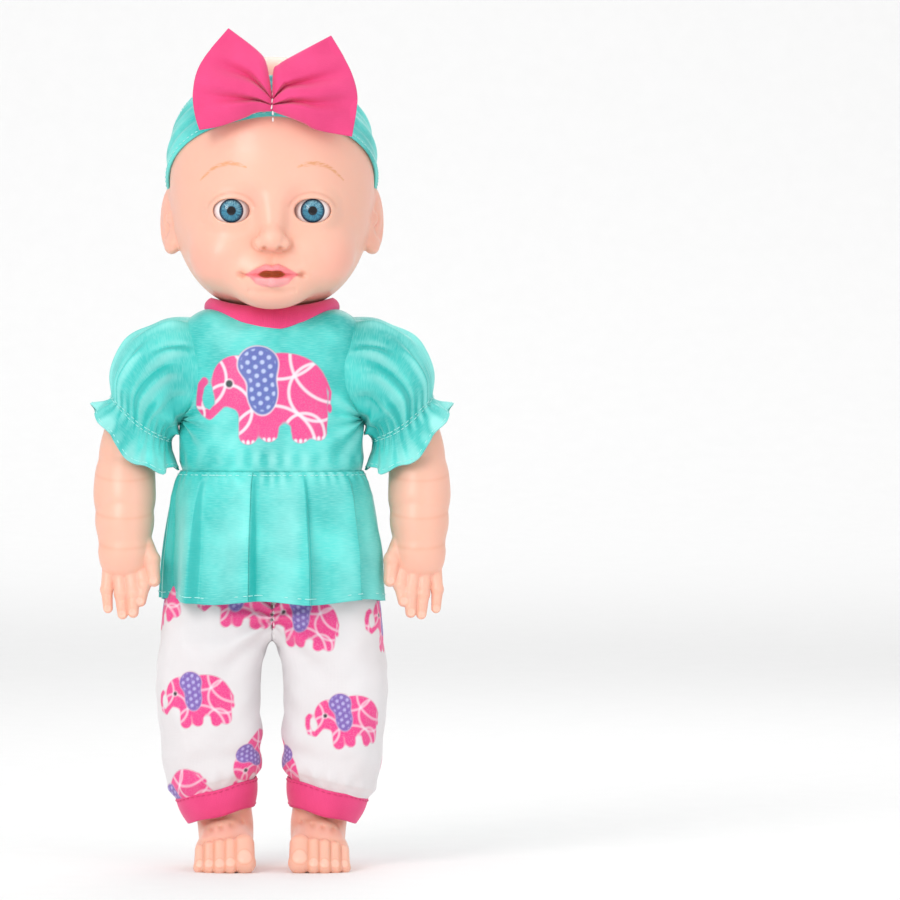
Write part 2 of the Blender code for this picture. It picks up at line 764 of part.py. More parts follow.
def make_legs():
    points, radii = zip(*LEG_LINE)
    leg = tube("leg", points, radii, 3)
    disc = turned(
        "hip_disc",
        (
            (0.0, 0.0440),
            (0.0150, 0.0430),
            (0.0195, 0.0390),
            (HIP_DISC_R, 0.0320),
            (HIP_DISC_R, 0.0180),
            (0.0180, 0.0136),
            (0.0125, HIP_FACE_X),
            (0.0, HIP_FACE_X),
        ),
        (0, 0, HIP_Z),
        axis="X",
        steps=20,
    )
    foot = ball("foot", FOOT_CENTRE, FOOT_RADII, 14, 10)
    join(leg, disc, foot)
    for index in range(5):
        x = 0.0105 + 0.0046 * index
        reach = -0.0335 + 0.0013 * index
        root_y = -0.0240
        size = 0.0034 if index == 0 else 0.0027 - 0.0001 * index
        join(leg, capsule(f"toe_{index}", (x, root_y, 0.0055), (x, reach, 0.0042), size, size * 0.95))
    cut(leg, box("ground", (-0.1, -0.1, -0.1), (0.1, 0.1, 0.0)))
    inner = [(p, r - VINYL_WALL) for p, r in LEG_LINE[1:-3]]
    hollow = tube("leg_hollow", [p for p, _ in inner], [r for _, r in inner], 2)
    bore = rod("leg_mouth", (0.0050, 0, HIP_Z), (0.0250, 0, HIP_Z), HIP_PLUG_R + FIT_GAP)
    leg = cut(leg, hollow, bore)
    left = as_part(leg, "leg_left", "vinyl_skin")
    mirrored(left, "leg_right")

    plug = turned(
        "hip_plug",
        (
            (0.0, 0.0140),
            (HIP_PLUG_R, 0.0140),
            (HIP_PLUG_R, 0.0072),
            (0.0060, 0.0072),
            (0.0060, 0.0041),
            (0.0085, 0.0041),
            (0.0085, 0.0012),
            (0.0, 0.0012),
        ),
        (0, 0, HIP_Z),
        axis="X",
    )
    pin = as_part(plug, "hip_plug_left", "white_plastic")
    mirrored(pin, "hip_plug_right")


# ---------------------------------------------------------------- clothes
def garment_skin(name, inside, outside):
    """A layer of cloth over the torso, between two offsets from it."""
    layer = loft(name + "_out", level_rings(TORSO, outside, TORSO_POWER))
    cut(layer, loft(name + "_in", level_rings(TORSO, inside, TORSO_POWER)))
    return cut(layer, *hip_clearance(name + "_hip"))


def neck_plug(name, grow):
    """An upright oval plug on the neckline."""
    direction = (Vector((1, 0, 0)), Vector((0, 1, 0)))
    rings = [
        superellipse((0, NECK_Y / 2, z), NECK_OVAL[0] + grow, NECK_OVAL[1] + grow, *direction, 2.0, 24)
        for z in (0.20, 0.26)
    ]
    return loft(name, rings)


def make_top():
    bodice = garment_skin("bodice", 0.0012, 0.0026)
    keep(bodice, box("bodice_limit", (-0.1, -0.1, WAIST_Z + FIT_GAP), (0.1, 0.1, 0.3)))
    cut(bodice, neck_plug("neckline", 0.0))
    for hand in (-1, 1):
        start = (hand * 0.0340, 0, SHOULDER_Z)
        cut(bodice, rod(f"armhole_{hand}", start, (hand * 0.06, 0, SHOULDER_Z), ARMHOLE_R, sides=24))
    as_part(bodice, "top_bodice", "aqua_satin")

    collar = garment_skin("collar", 0.0006, 0.0032)
    keep(collar, box("collar_limit", (-0.1, -0.1, 0.225), (0.1, 0.1, 0.3)))
    cut(collar, rod("collar_inside", (0, NECK_Y, 0.2), (0, NECK_Y, 0.26), 0.0168, sides=20))
    keep(collar, neck_plug("collar_outside", -FIT_GAP))
    as_part(collar, "top_collar", "pink_cloth")

    # The peplum flares from the waist seam to its hem, a half on each side of the centre line.
    flare = (
        (WAIST_Z - 0.0545, 0.0482, 0.0430),
        (WAIST_Z - 0.0300, 0.0456, 0.0405),
        (WAIST_Z - 0.0100, 0.0426, 0.0372),
        (WAIST_Z - FIT_GAP, 0.0410, 0.0350),
    )
    skirt = loft("skirt", level_rings(flare, 0.0, TORSO_POWER), capped=False)
    thick = skirt.modifiers.new("cloth", "SOLIDIFY")
    thick.thickness = 0.0011
    thick.offset = 1.0
    half = box("skirt_half", (FIT_GAP / 2, -0.1, 0.0), (0.1, 0.1, 0.4))
    keep(skirt, half)
    left = as_part(skirt, "top_peplum_left", "aqua_satin")
    mirrored(left, "top_peplum_right")


def sleeve_ring(centre, half_across, half_deep, tilt):
    """A section of the sleeve, round the arm, tilted about Y so that its outer edge is the higher one."""
    across = Vector((math.cos(tilt), 0, math.sin(tilt)))
    return superellipse(centre, half_across, half_deep, across, Vector((0, 1, 0)), 2.0, 16)


def make_sleeves():
    upright = math.radians(90)
    puff = [
        sleeve_ring((SLEEVE_X, 0, SHOULDER_Z), 0.0235, 0.0235, upright),
        sleeve_ring((0.0480, -0.0005, SHOULDER_Z - 0.0015), 0.0238, 0.0238, math.radians(78)),
        sleeve_ring((0.0545, -0.0010, SHOULDER_Z - 0.0080), 0.0215, 0.0225, math.radians(56)),
        sleeve_ring((0.0575, -0.0015, SHOULDER_Z - 0.0150), 0.0185, 0.0200, math.radians(42)),
        sleeve_ring((0.0580, -0.0015, SHOULDER_Z - 0.0195), 0.0165, 0.0172, math.radians(36)),
    ]
    frill = [
        sleeve_ring((0.0584, -0.0015, SHOULDER_Z - 0.0200), 0.0165, 0.0172, math.radians(35)),
        sleeve_ring((0.0600, -0.0018, SHOULDER_Z - 0.0260), 0.0180, 0.0192, math.radians(32)),
        sleeve_ring((0.0612, -0.0022, SHOULDER_Z - 0.0310), 0.0212, 0.0215, math.radians(29)),
    ]
    for rings, name in ((puff, "sleeve"), (frill, "sleeve_ruffle")):
        skin = loft(name, rings, capped=False)
        thick = skin.modifiers.new("cloth", "SOLIDIFY")
        thick.thickness = 0.0010
        thick.offset = -1.0
        left = as_part(skin, f"{name}_left", "aqua_satin")
        mirrored(left, f"{name}_right")


PANTS_LEG = (
    (0.0350, 0.0248, 0.0196, 0.0190),
    (0.0430, 0.0252, 0.0212, 0.0210),
    (0.0560, 0.0266, 0.0226, 0.0232),
    (0.0720, 0.0279, 0.0226, 0.0240),
    (0.0880, 0.0285, 0.0210, 0.0242),
    (0.1062, 0.0286, 0.0209, 0.0238),
)
PANTS_CUFF = (
    (0.0247, 0.0228, 0.0160, 0.0172),
    (0.0347, 0.0250, 0.0192, 0.0184),
)
PANTS_POWER = (2.1, 3.4)
CUFF_SLOPE = 0.20


def leg_rings(sections, slope):
    """Sections of a trouser leg from (height, centre x, half width, half depth), lower on the outer side."""
    rings = []
    for index, (z, x, half_x, half_y) in enumerate(sections):
        share = index / (len(sections) - 1) if len(sections) > 2 else 0.0
        across = Vector((1, 0, -slope * (1 - share)))
        power = PANTS_POWER[0] + (PANTS_POWER[1] - PANTS_POWER[0]) * share
        rings.append(superellipse((x, 0, z), half_x, half_y, across, Vector((0, 1, 0)), power, 16))
    return rings


def make_pants():
    seat = garment_skin("seat", 0.0004, 0.0014)
    keep(seat, box("seat_limit", (-0.1, -0.1, 0.05), (0.1, 0.1, 0.1672)))
    as_part(seat, "pants_seat", "white_cloth")
    band = garment_skin("elastic", 0.0004, 0.0018)
    keep(band, box("elastic_limit", (-0.1, -0.1, 0.1675), (0.1, 0.1, 0.1735)))
    as_part(band, "pants_waistband", "white_cloth")

    tubes = ((PANTS_LEG, "pants_leg", "white_cloth"), (PANTS_CUFF, "pants_cuff", "pink_cloth"))
    for sections, name, material in tubes:
        skin = loft(name, leg_rings(sections, CUFF_SLOPE), capped=False)
        thick = skin.modifiers.new("cloth", "SOLIDIFY")
        thick.thickness = 0.0010
        thick.offset = -1.0
        left = as_part(skin, f"{name}_left", material)
        mirrored(left, f"{name}_right")


make_torso()
make_battery_box()
make_sound_unit()
make_screws()
make_head()
make_headwear()
make_arms()
make_legs()
make_top()
make_sleeves()
make_pants()
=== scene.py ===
"""Looks for the interactive baby doll: vinyl head and limbs, painted face, sewn clothes, stage and camera.

Everything is in metres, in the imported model's frame: +Z up, the face looks along -Y, +X is the doll's left.
"""

import json
import math

import bpy
import numpy as np
from mathutils import Matrix, Vector


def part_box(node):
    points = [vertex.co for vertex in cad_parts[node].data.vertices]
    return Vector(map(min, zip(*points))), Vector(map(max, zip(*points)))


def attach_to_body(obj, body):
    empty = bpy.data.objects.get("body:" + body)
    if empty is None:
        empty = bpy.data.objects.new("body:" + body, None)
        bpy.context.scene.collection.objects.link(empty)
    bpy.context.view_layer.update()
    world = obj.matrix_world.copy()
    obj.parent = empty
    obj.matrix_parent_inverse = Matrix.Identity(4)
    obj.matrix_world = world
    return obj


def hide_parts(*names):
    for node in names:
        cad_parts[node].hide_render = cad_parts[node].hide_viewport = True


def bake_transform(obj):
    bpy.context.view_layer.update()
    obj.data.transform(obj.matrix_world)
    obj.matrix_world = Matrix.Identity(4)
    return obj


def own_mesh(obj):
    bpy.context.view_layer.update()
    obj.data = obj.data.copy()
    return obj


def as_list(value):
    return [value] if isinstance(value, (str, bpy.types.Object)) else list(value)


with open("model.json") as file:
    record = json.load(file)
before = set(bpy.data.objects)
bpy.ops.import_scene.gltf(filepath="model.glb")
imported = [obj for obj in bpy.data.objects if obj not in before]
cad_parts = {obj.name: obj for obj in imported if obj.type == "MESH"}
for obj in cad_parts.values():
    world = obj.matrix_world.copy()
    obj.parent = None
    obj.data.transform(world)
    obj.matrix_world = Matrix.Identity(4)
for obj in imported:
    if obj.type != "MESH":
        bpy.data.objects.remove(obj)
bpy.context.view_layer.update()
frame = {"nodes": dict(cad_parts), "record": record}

SIDES = (("left", 1), ("right", -1))
UP = np.array((0.0, 0.0, 1.0))
MM = 0.001
TURN = 6.283  # radians in a turn, as near as the cloth's waves need


def bell(x, width):
    """1 where x is 0, falling away smoothly within about that width on either side."""
    return np.exp(-((x / width) ** 2))


def unit(vectors):
    return vectors / np.maximum(np.linalg.norm(vectors, axis=-1, keepdims=True), 1e-12)


# ---------------------------------------------------------------- shaping with distance fields
def smooth_min(a, b, k):
    h = np.clip(0.5 + 0.5 * (b - a) / k, 0, 1)
    return b + (a - b) * h - k * h * (1 - h)


def smooth_max(a, b, k):
    return -smooth_min(-a, -b, k)


def smoothstep(low, high, x):
    t = np.clip((x - low) / (high - low), 0, 1)
    return t * t * (3 - 2 * t)


def ellipsoid(p, centre, radii):
    q = (p - np.array(centre)) / np.array(radii)
    near = np.sqrt((q * q).sum(-1))
    slope = np.sqrt(((q / np.array(radii)) ** 2).sum(-1))
    return near * (near - 1) / np.maximum(slope, 1e-6)


def round_cone(p, start, end, start_r, end_r):
    start, end = np.array(start), np.array(end)
    along = end - start
    t = np.clip(((p - start) @ along) / (along @ along), 0, 1)
    return np.linalg.norm(p - start - t[..., None] * along, axis=-1) - (start_r + (end_r - start_r) * t)


class Field:
    """Signed distances on a grid. Shapes are added to the part of the grid that they reach."""

    def __init__(self, low, high, step):
        self.low, self.step = np.array(low, float), step
        count = np.ceil((np.array(high) - self.low) / step).astype(int) + 1
        self.axes = [self.low[i] + step * np.arange(count[i]) for i in range(3)]
        self.value = np.full(count, 0.05, np.float32)

    def part(self, low, high):
        """The slices between two corners, and their points."""
        first = np.maximum(((low - self.low) / self.step).astype(int), 0)
        last = ((high - self.low) / self.step).astype(int) + 2
        cut = tuple(slice(a, b) for a, b in zip(first, last))
        grids = np.meshgrid(*[axis[c] for axis, c in zip(self.axes, cut)], indexing="ij")
        return cut, np.stack(grids, -1)

    def whole(self, shape):
        cut, p = self.part(self.low, self.low + self.step * np.array(self.value.shape))
        self.value[cut] = shape(p)

    def apply(self, shape, low, high, join, k=0.0005):
        cut, p = self.part(np.array(low), np.array(high))
        self.value[cut] = join(self.value[cut], shape(p), k)

    def add_ellipsoid(self, centre, radii, k, cut=False):
        centre, radii = np.array(centre), np.array(radii)
        reach = radii + 2.2 * k + 0.001
        join, sign = (smooth_max, -1) if cut else (smooth_min, 1)
        self.apply(lambda p: sign * ellipsoid(p, centre, radii), centre - reach, centre + reach, join, k)

    def add_cone(self, start, end, start_r, end_r, k):
        reach = max(start_r, end_r) + 2.2 * k + 0.001
        low = np.minimum(start, end) - reach
        high = np.maximum(start, end) + reach
        self.apply(lambda p: round_cone(p, start, end, start_r, end_r), low, high, smooth_min, k)

    def groove(self, shape, low, high, depth, width):
        """Presses a soft line into the surface, where the shape's value is zero."""
        cut, p = self.part(np.array(low), np.array(high))
        self.value[cut] += depth * bell(shape(p), width)

    def sample(self, points):
        """Values between grid points."""
        q = (points - self.low) / self.step
        base = np.clip(np.floor(q).astype(int), 0, np.array(self.value.shape) - 2)
        t = np.clip(q - base, 0, 1)
        total = np.zeros(len(points))
        for corner in range(8):
            offset = np.array([(corner >> i) & 1 for i in range(3)])
            weight = np.prod(np.where(offset, t, 1 - t), axis=1)
            i, j, k = (base + offset).T
            total += weight * self.value[i, j, k]
        return total

    def surface(self, relax=2):
        """Points and quads of the zero surface, by surface nets, then relaxed and pulled back onto it."""
        v = self.value
        inside = v < 0
        n = v.shape
        count = sum(
            inside[i : n[0] - 1 + i, j : n[1] - 1 + j, k : n[2] - 1 + k].astype(np.int8)
            for i in (0, 1)
            for j in (0, 1)
            for k in (0, 1)
        )
        cells = np.argwhere((count > 0) & (count < 8))
        index = np.full(count.shape, -1, np.int64)
        index[tuple(cells.T)] = np.arange(len(cells))
        total = np.zeros((len(cells), 3))
        hits = np.zeros(len(cells))
        corners = [np.array([(c >> i) & 1 for i in range(3)]) for c in range(8)]
        for a in corners:
            for axis in range(3):
                if a[axis]:
                    continue
                b = a.copy()
                b[axis] = 1
                va, vb = v[tuple((cells + a).T)], v[tuple((cells + b).T)]
                crossing = (va < 0) != (vb < 0)
                t = np.where(crossing, va / np.where(crossing, va - vb, 1), 0)
                total += np.where(crossing[:, None], a + t[:, None] * (b - a), 0)
                hits += crossing
        points = self.low + self.step * (cells + total / hits[:, None])
        quads = []
        for axis in range(3):
            b_axis, c_axis = (axis + 1) % 3, (axis + 2) % 3
            first = [slice(None)] * 3
            second = [slice(None)] * 3
            first[axis], second[axis] = slice(None, -1), slice(1, None)
            change = inside[tuple(first)] != inside[tuple(second)]
            at = np.argwhere(change)
            at = at[(at[:, b_axis] > 0) & (at[:, c_axis] > 0)]
            at = at[(at[:, b_axis] < n[b_axis] - 1) & (at[:, c_axis] < n[c_axis] - 1)]
            step_b, step_c = np.eye(3, dtype=int)[b_axis], np.eye(3, dtype=int)[c_axis]
            ring = [index[tuple((at - o).T)] for o in (0 * step_b, step_b, step_b + step_c, step_c)]
            face = np.stack(ring, 1)
            outward = inside[tuple(at.T)]
            face[~outward] = face[~outward][:, ::-1]
            quads.append(face)
        quads = np.concatenate(quads)
        edges = np.concatenate([quads[:, [i, (i + 1) % 4]] for i in range(4)])
        for _ in range(relax):
            mean = np.zeros_like(points)
            weight = np.zeros(len(points))
            for a, b in (edges.T, edges.T[::-1]):
                for axis in range(3):
                    mean[:, axis] += np.bincount(a, points[b, axis], len(points))
                weight += np.bincount(a, minlength=len(points))
            points = points + 0.6 * (mean / weight[:, None] - points)
            points = self.pull(points)
        return points, quads

    def pull(self, points):
        """Moves points onto the zero surface along the gradient."""
        h = 0.7 * self.step
        value = self.sample(points)
        slope = np.stack(
            [self.sample(points + h * e) - self.sample(points - h * e) for e in np.eye(3)], 1
        ) / (2 * h)
        size = (slope * slope).sum(1)
        move = slope * (value / np.maximum(size, 1e-3))[:, None]
        length = np.linalg.norm(move, axis=1, keepdims=True)
        return points - move * np.minimum(1, self.step / np.maximum(length, 1e-9))


# ---------------------------------------------------------------- making objects
def link_object(name, data):
    made = bpy.data.objects.new(name, data)
    bpy.context.scene.collection.objects.link(made)
    return made


def quad_mesh(name, points, quads, material, corner_uv=None):
    """A mesh from arrays. The UVs are metres on the cloth, one for each corner of each face."""
    points, quads = np.asarray(points, np.float32), np.asarray(quads, np.int32)
    mesh = bpy.data.meshes.new(name)
    mesh.vertices.add(len(points))
    mesh.vertices.foreach_set("co", points.ravel())
    mesh.loops.add(quads.size)
    mesh.loops.foreach_set("vertex_index", quads.ravel())
    mesh.polygons.add(len(quads))
    mesh.polygons.foreach_set("loop_start", np.arange(0, quads.size, 4, dtype=np.int32))
    mesh.update(calc_edges=True)
    if corner_uv is not None:
        mesh.uv_layers.new(name="cloth").data.foreach_set("uv", corner_uv.astype(np.float32).ravel())
    mesh.validate()
    mesh.shade_smooth()
    mesh.materials.append(material)
    return link_object(name, mesh)


def field_object(name, field, material):
    points, quads = field.surface()
    return quad_mesh(name, points, quads, material), points


def paint_attribute(made, name, values):
    layer = made.data.attributes.new(name, "FLOAT", "POINT")
    layer.data.foreach_set("value", np.asarray(values, np.float32))


def mirror_object(made, name):
    """A mirror copy of a mesh, across the doll's middle plane, as its own mesh."""
    mesh = made.data.copy()
    mesh.transform(Matrix.Diagonal((-1, 1, 1, 1)))
    mesh.flip_normals()
    mesh.name = name
    return link_object(name, mesh)


def attach(piece, body, slot, *nodes):
    """Sets the body that a piece rides on, and hides the modelled parts that it stands for; the slot is not
    used.
    """
    if nodes:
        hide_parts(*nodes)
    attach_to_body(piece, body)
    return piece


def resample(points, count, closed=False):
    """Evenly spaced points along a polyline."""
    points = np.asarray(points, float)
    if closed:
        points = np.concatenate([points, points[:1]])
    step = np.linalg.norm(np.diff(points, axis=0), axis=1)
    place = np.concatenate([[0], np.cumsum(step)])
    want = np.linspace(0, place[-1], count, endpoint=not closed)
    return np.stack([np.interp(want, place, points[:, i]) for i in range(points.shape[1])], 1)


def spline(points, count):
    """Points on a smooth curve through the given ones (Catmull-Rom)."""
    points = np.asarray(points, float)
    padded = np.concatenate([2 * points[:1] - points[1:2], points, 2 * points[-1:] - points[-2:-1]])
    t = np.linspace(0, len(points) - 1, count)
    i = np.minimum(t.astype(int), len(points) - 2)
    f = (t - i)[:, None]
    p0, p1, p2, p3 = (padded[i + j] for j in range(4))
    return 0.5 * (
        2 * p1 + (p2 - p0) * f + (2 * p0 - 5 * p1 + 4 * p2 - p3) * f**2 + (3 * p1 - p0 - 3 * p2 + p3) * f**3
    )


def sheet_grid(rows, columns, closed):
    """Corner indices of a grid of points. A closed grid joins its last column to its first."""
    r, c = np.meshgrid(np.arange(rows - 1), np.arange(columns if closed else columns - 1), indexing="ij")
    after = (c + 1) % columns
    row, below = r * columns, (r + 1) * columns
    quads = np.stack([row + c, row + after, below + after, below + c], -1)
    return quads.reshape(-1, 4), (r.ravel(), c.ravel())


STITCH_PITCH = 0.0026
# Rings along one stitch: place in lengths, then size and height in radii.
STITCH_RINGS = np.array((
    (-0.5, 0.25, -0.5), (-0.36, 0.85, 0.1), (0, 1, 0.35), (0.36, 0.85, 0.1), (0.5, 0.25, -0.5),
))


def stitches(name, path, normals, material, length=0.0018, radius=0.00022, closed=False, lift=0.0001):
    """A row of sewn stitches along a path that lies on cloth."""
    path = np.asarray(path, float)
    span = np.linalg.norm(np.diff(path, axis=0), axis=1).sum()
    both = resample(np.concatenate([path, normals], 1), max(int(span / STITCH_PITCH), 2) * 3, closed)
    centres, up = both[1::3, :3], both[1::3, 3:]
    along = unit(both[2::3, :3] - both[0::3, :3])
    up = unit(up - (up * along).sum(1, keepdims=True) * along)
    side = np.cross(along, up)
    angle = math.pi / 3 * np.arange(6)
    place, size, rise = (STITCH_RINGS[:, i, None] for i in range(3))
    height = radius * (size * np.sin(angle) + rise) + lift
    template = np.stack([place * length + 0 * angle, size * radius * np.cos(angle), height], -1).reshape(-1, 3)
    points = centres[:, None] + np.einsum("ti,isj->stj", template, np.stack([along, side, up]))
    ring_quads = sheet_grid(len(STITCH_RINGS), 6, True)[0]
    faces = ring_quads + len(template) * np.arange(len(centres))[:, None, None]
    return quad_mesh(name, points.reshape(-1, 3), faces.reshape(-1, 4), material)


def rumple(points, seed, scale):
    """Gentle, fixed cloth unevenness from -1 to 1 at each point."""
    rng = np.random.default_rng(seed)
    total = np.zeros(points.shape[:-1])
    for _ in range(9):
        direction = unit(rng.normal(size=3))
        total += np.sin(points @ direction * (TURN / scale) * rng.uniform(0.5, 1.5) + rng.uniform(0, TURN))
    return total / 4.5


# ---------------------------------------------------------------- materials
class Nodes:
    """Short calls for building a material's nodes."""

    def __init__(self, name):
        self.material = bpy.data.materials.new(name)
        self.material.use_nodes = True
        self.tree = self.material.node_tree
        self.where = self.node("ShaderNodeTexCoord").outputs["Object"]

    def node(self, kind, inputs=(), **settings):
        """Adds a node with those settings. Each input is a socket's name or number, and its value or link."""
        made = self.tree.nodes.new(kind)
        for key, value in settings.items():
            setattr(made, key, value)
        for key, value in inputs:
            self.put(made.inputs[key], value)
        return made

    def put(self, socket, value):
        if isinstance(value, bpy.types.NodeSocket):
            self.tree.links.new(value, socket)
        else:
            socket.default_value = value

    def math(self, operation, a, b=0.0, clamp=False):
        return self.node("ShaderNodeMath", enumerate((a, b)), operation=operation, use_clamp=clamp).outputs[0]

    def mix(self, share, a, b):
        return self.node("ShaderNodeMix", ((0, share), (6, a), (7, b)), data_type="RGBA").outputs[2]

    def attribute(self, name, output="Fac"):
        return self.node("ShaderNodeAttribute", attribute_name=name).outputs[output]

    def stretch(self, vector, scale, turn=0.0):
        inputs = (("Vector", vector), ("Scale", scale), ("Rotation", (0, 0, turn)))
        return self.node("ShaderNodeMapping", inputs).outputs[0]

    def cloth_uv(self, scale, turn=0.0):
        return self.stretch(self.node("ShaderNodeUVMap", uv_map="cloth").outputs[0], scale, turn)

    def noise(self, scale, detail=3.0, roughness=0.5, vector=None):
        sockets = ("Vector", "Scale", "Detail", "Roughness")
        values = (vector or self.where, scale, detail, roughness)
        return self.node("ShaderNodeTexNoise", zip(sockets, values)).outputs[0]

    def ramp(self, value, low, high, to_low=0.0, to_high=1.0):
        return self.node("ShaderNodeMapRange", enumerate((value, low, high, to_low, to_high))).outputs[0]

    def bump(self, height, strength, distance):
        inputs = (("Height", height), ("Strength", strength), ("Distance", distance))
        return self.node("ShaderNodeBump", inputs).outputs[0]

    def finish(self, **values):
        """Sets the surface's values, and gives the material."""
        surface = self.tree.nodes["Principled BSDF"]
        for name, value in values.items():
            self.put(surface.inputs[name.replace("_", " ")], value)
        return self.material


def rgba(r, g, b):
    return (r, g, b, 1.0)


# Face paint: the lips, brows and blush are the doll's own colours; the crease tint is painted shade in the
# creases and hollows, the lip shine a painted highlight, and part of the blush painted shade in the eye sockets
# and under the chin.
FACE_PAINT = (
    ("blush_and_shade", rgba(0.9, 0.38, 0.31)),
    ("crease", rgba(0.62, 0.25, 0.15)),
    ("lips", rgba(0.9, 0.18, 0.23)),
    ("lip_shine", rgba(0.94, 0.4, 0.4)),
    ("brow", rgba(0.74, 0.33, 0.14)),
    ("mouth", rgba(0.7, 0.25, 0.1)),
)
# On the limbs the crease tint is painted shade in the creases and a redder tint over the hands and toes; the
# nails are a lighter tint.
LIMB_PAINT = (("crease", rgba(0.8, 0.33, 0.2)), ("nail", rgba(0.96, 0.62, 0.5)))


def vinyl_material(name, paint):
    """Soft vinyl: even peach, a little light under the surface, a fine matt grain and a low gloss."""
    n = Nodes(name)
    mottle = n.ramp(n.noise(55.0, 2.0), 0.35, 0.7, 0.0, 0.16)
    colour = n.mix(mottle, rgba(0.905, 0.505, 0.385), rgba(0.87, 0.45, 0.32))
    for layer, tint in paint:
        share = n.attribute(layer)
        if layer == "brow":
            strands = n.noise(1.0, 2.0, vector=n.stretch(n.where, (420, 120, 1500)))
            share = n.math("MULTIPLY", share, n.ramp(strands, 0.36, 0.56, 0.25, 1.0), clamp=True)
        colour = n.mix(share, colour, tint)
    broad = n.noise(260.0, 2.0)
    height = n.math("ADD", n.math("MULTIPLY", n.noise(2600.0, 2.0), 0.35), broad)
    return n.finish(
        Base_Color=colour,
        Roughness=n.ramp(broad, 0.3, 0.7, 0.36, 0.44),
        Normal=n.bump(height, 0.1, 0.0003),
        Subsurface_Weight=0.22,
        Subsurface_Scale=0.006,
        Subsurface_Radius=(1.0, 0.42, 0.26),
        Coat_Weight=0.12,
        Coat_Roughness=0.22,
    )


def woven(n, period):
    """Height of a plain weave, by UV in metres, and of the first of its two crossed sets of threads."""
    # A band texture repeats every 0.314 of its scaled length.
    scale = (0.314 / period,) * 3
    threads = []
    for turn in (0.0, math.pi / 2):
        inputs = (("Vector", n.cloth_uv(scale, turn)), ("Scale", 1.0), ("Distortion", 0.4), ("Detail", 1.0))
        threads.append(n.node("ShaderNodeTexWave", inputs).outputs[0])
    return n.math("MULTIPLY", *threads), threads[0]


def with_ink(n, tone):
    """Prints the cloth's painted ink over its own colour."""
    fuzz = n.ramp(n.noise(1900.0, 2.0), 0.3, 0.55, 0.86, 0.98)
    share = n.math("MULTIPLY", n.attribute("ink", "Alpha"), fuzz)
    return n.mix(share, tone, n.attribute("ink", "Color"))


# Aqua, with a darker and a lighter copy: painted shade and painted highlight on the folds, and also the cloth's
# random tone, weave and streaks.
AQUA, AQUA_DEEP, AQUA_LIGHT = rgba(0.115, 0.78, 0.72), rgba(0.004, 0.46, 0.43), rgba(0.42, 0.9, 0.86)


def satin_material(name, printed=False):
    """Aqua satin: a fine weave, a soft sheen, painted highlight on raised folds and painted shade in their
    hollows, and slight streaks.
    """
    n = Nodes(name)
    weave, _ = woven(n, 0.00042)
    slub = n.noise(1.0, 2.0, vector=n.cloth_uv((260.0, 2400.0, 1.0)))
    fold_shading = n.attribute("fold_shading")
    tone = n.mix(n.ramp(n.noise(38.0), 0.35, 0.65), AQUA_DEEP, AQUA)
    for share, tint in (
        (n.ramp(slub, 0.42, 0.72, 0.0, 0.28), AQUA_LIGHT),
        (n.ramp(weave, 0.0, 1.0, 0.16, 0.0), AQUA_DEEP),
        # Painted highlight where the folds face the light, painted shade where they face away.
        (n.ramp(fold_shading, 0.0, 1.0, 0.0, 0.62), AQUA_LIGHT),
        (n.ramp(fold_shading, -1.0, 0.0, 0.7, 0.0), AQUA_DEEP),
    ):
        tone = n.mix(share, tone, tint)
    return n.finish(
        Base_Color=with_ink(n, tone) if printed else tone,
        Roughness=n.ramp(slub, 0.3, 0.7, 0.34, 0.46),
        Normal=n.bump(n.math("ADD", weave, n.math("MULTIPLY", slub, 0.8)), 0.22, 0.00012),
        Specular_IOR_Level=0.62,
        Sheen_Weight=0.55,
        Sheen_Roughness=0.28,
        Sheen_Tint=rgba(0.72, 1.0, 0.97),
    )


def cotton_material(name, colour, deep, period=0.00055, rib=False):
    """Matt plain-weave cotton, or knitted binding when rib is set."""
    n = Nodes(name)
    weave, threads = woven(n, period)
    fuzz = n.noise(2200.0, 2.0)
    tone = n.mix(n.ramp(n.noise(60.0), 0.35, 0.65, 0.0, 0.45), colour, deep)
    return n.finish(
        Base_Color=n.mix(n.ramp(weave, 0.0, 1.0, 0.22, 0.0), tone, deep),
        Roughness=n.ramp(fuzz, 0.3, 0.7, 0.72, 0.86),
        Normal=n.bump(n.math("ADD", threads if rib else weave, n.math("MULTIPLY", fuzz, 0.5)), 0.35, 0.00016),
        Sheen_Weight=0.35,
        Sheen_Roughness=0.45,
        Sheen_Tint=rgba(1.0, 0.75, 0.85),
    )


def jersey_material(name, printed=False):
    """White brushed jersey: knitted columns, soft lint, and faint grey-pink variation."""
    n = Nodes(name)
    weave, _ = woven(n, 0.0006)
    fuzz = n.noise(1700.0)
    tone = n.mix(n.ramp(n.noise(45.0), 0.35, 0.65, 0.0, 0.6), rgba(0.8, 0.78, 0.795), rgba(0.75, 0.71, 0.72))
    tone = n.mix(n.ramp(weave, 0.0, 1.0, 0.1, 0.0), tone, rgba(0.7, 0.68, 0.7))
    return n.finish(
        Base_Color=with_ink(n, tone) if printed else tone,
        Roughness=n.ramp(fuzz, 0.3, 0.7, 0.8, 0.92),
        Normal=n.bump(n.math("ADD", weave, n.math("MULTIPLY", fuzz, 0.7)), 0.3, 0.00016),
        Sheen_Weight=0.25,
        Sheen_Roughness=0.5,
    )


def darker(colour, share):
    return rgba(*(share * c for c in colour[:3]))


def thread_material(name, colour):
    n = Nodes(name)
    twist = n.noise(3800.0, 2.0)
    return n.finish(
        Base_Color=n.mix(n.ramp(twist, 0.35, 0.7, 0.0, 0.4), colour, darker(colour, 0.7)),
        Roughness=n.ramp(twist, 0.3, 0.7, 0.45, 0.62),
        Normal=n.bump(twist, 0.4, 0.0001),
    )


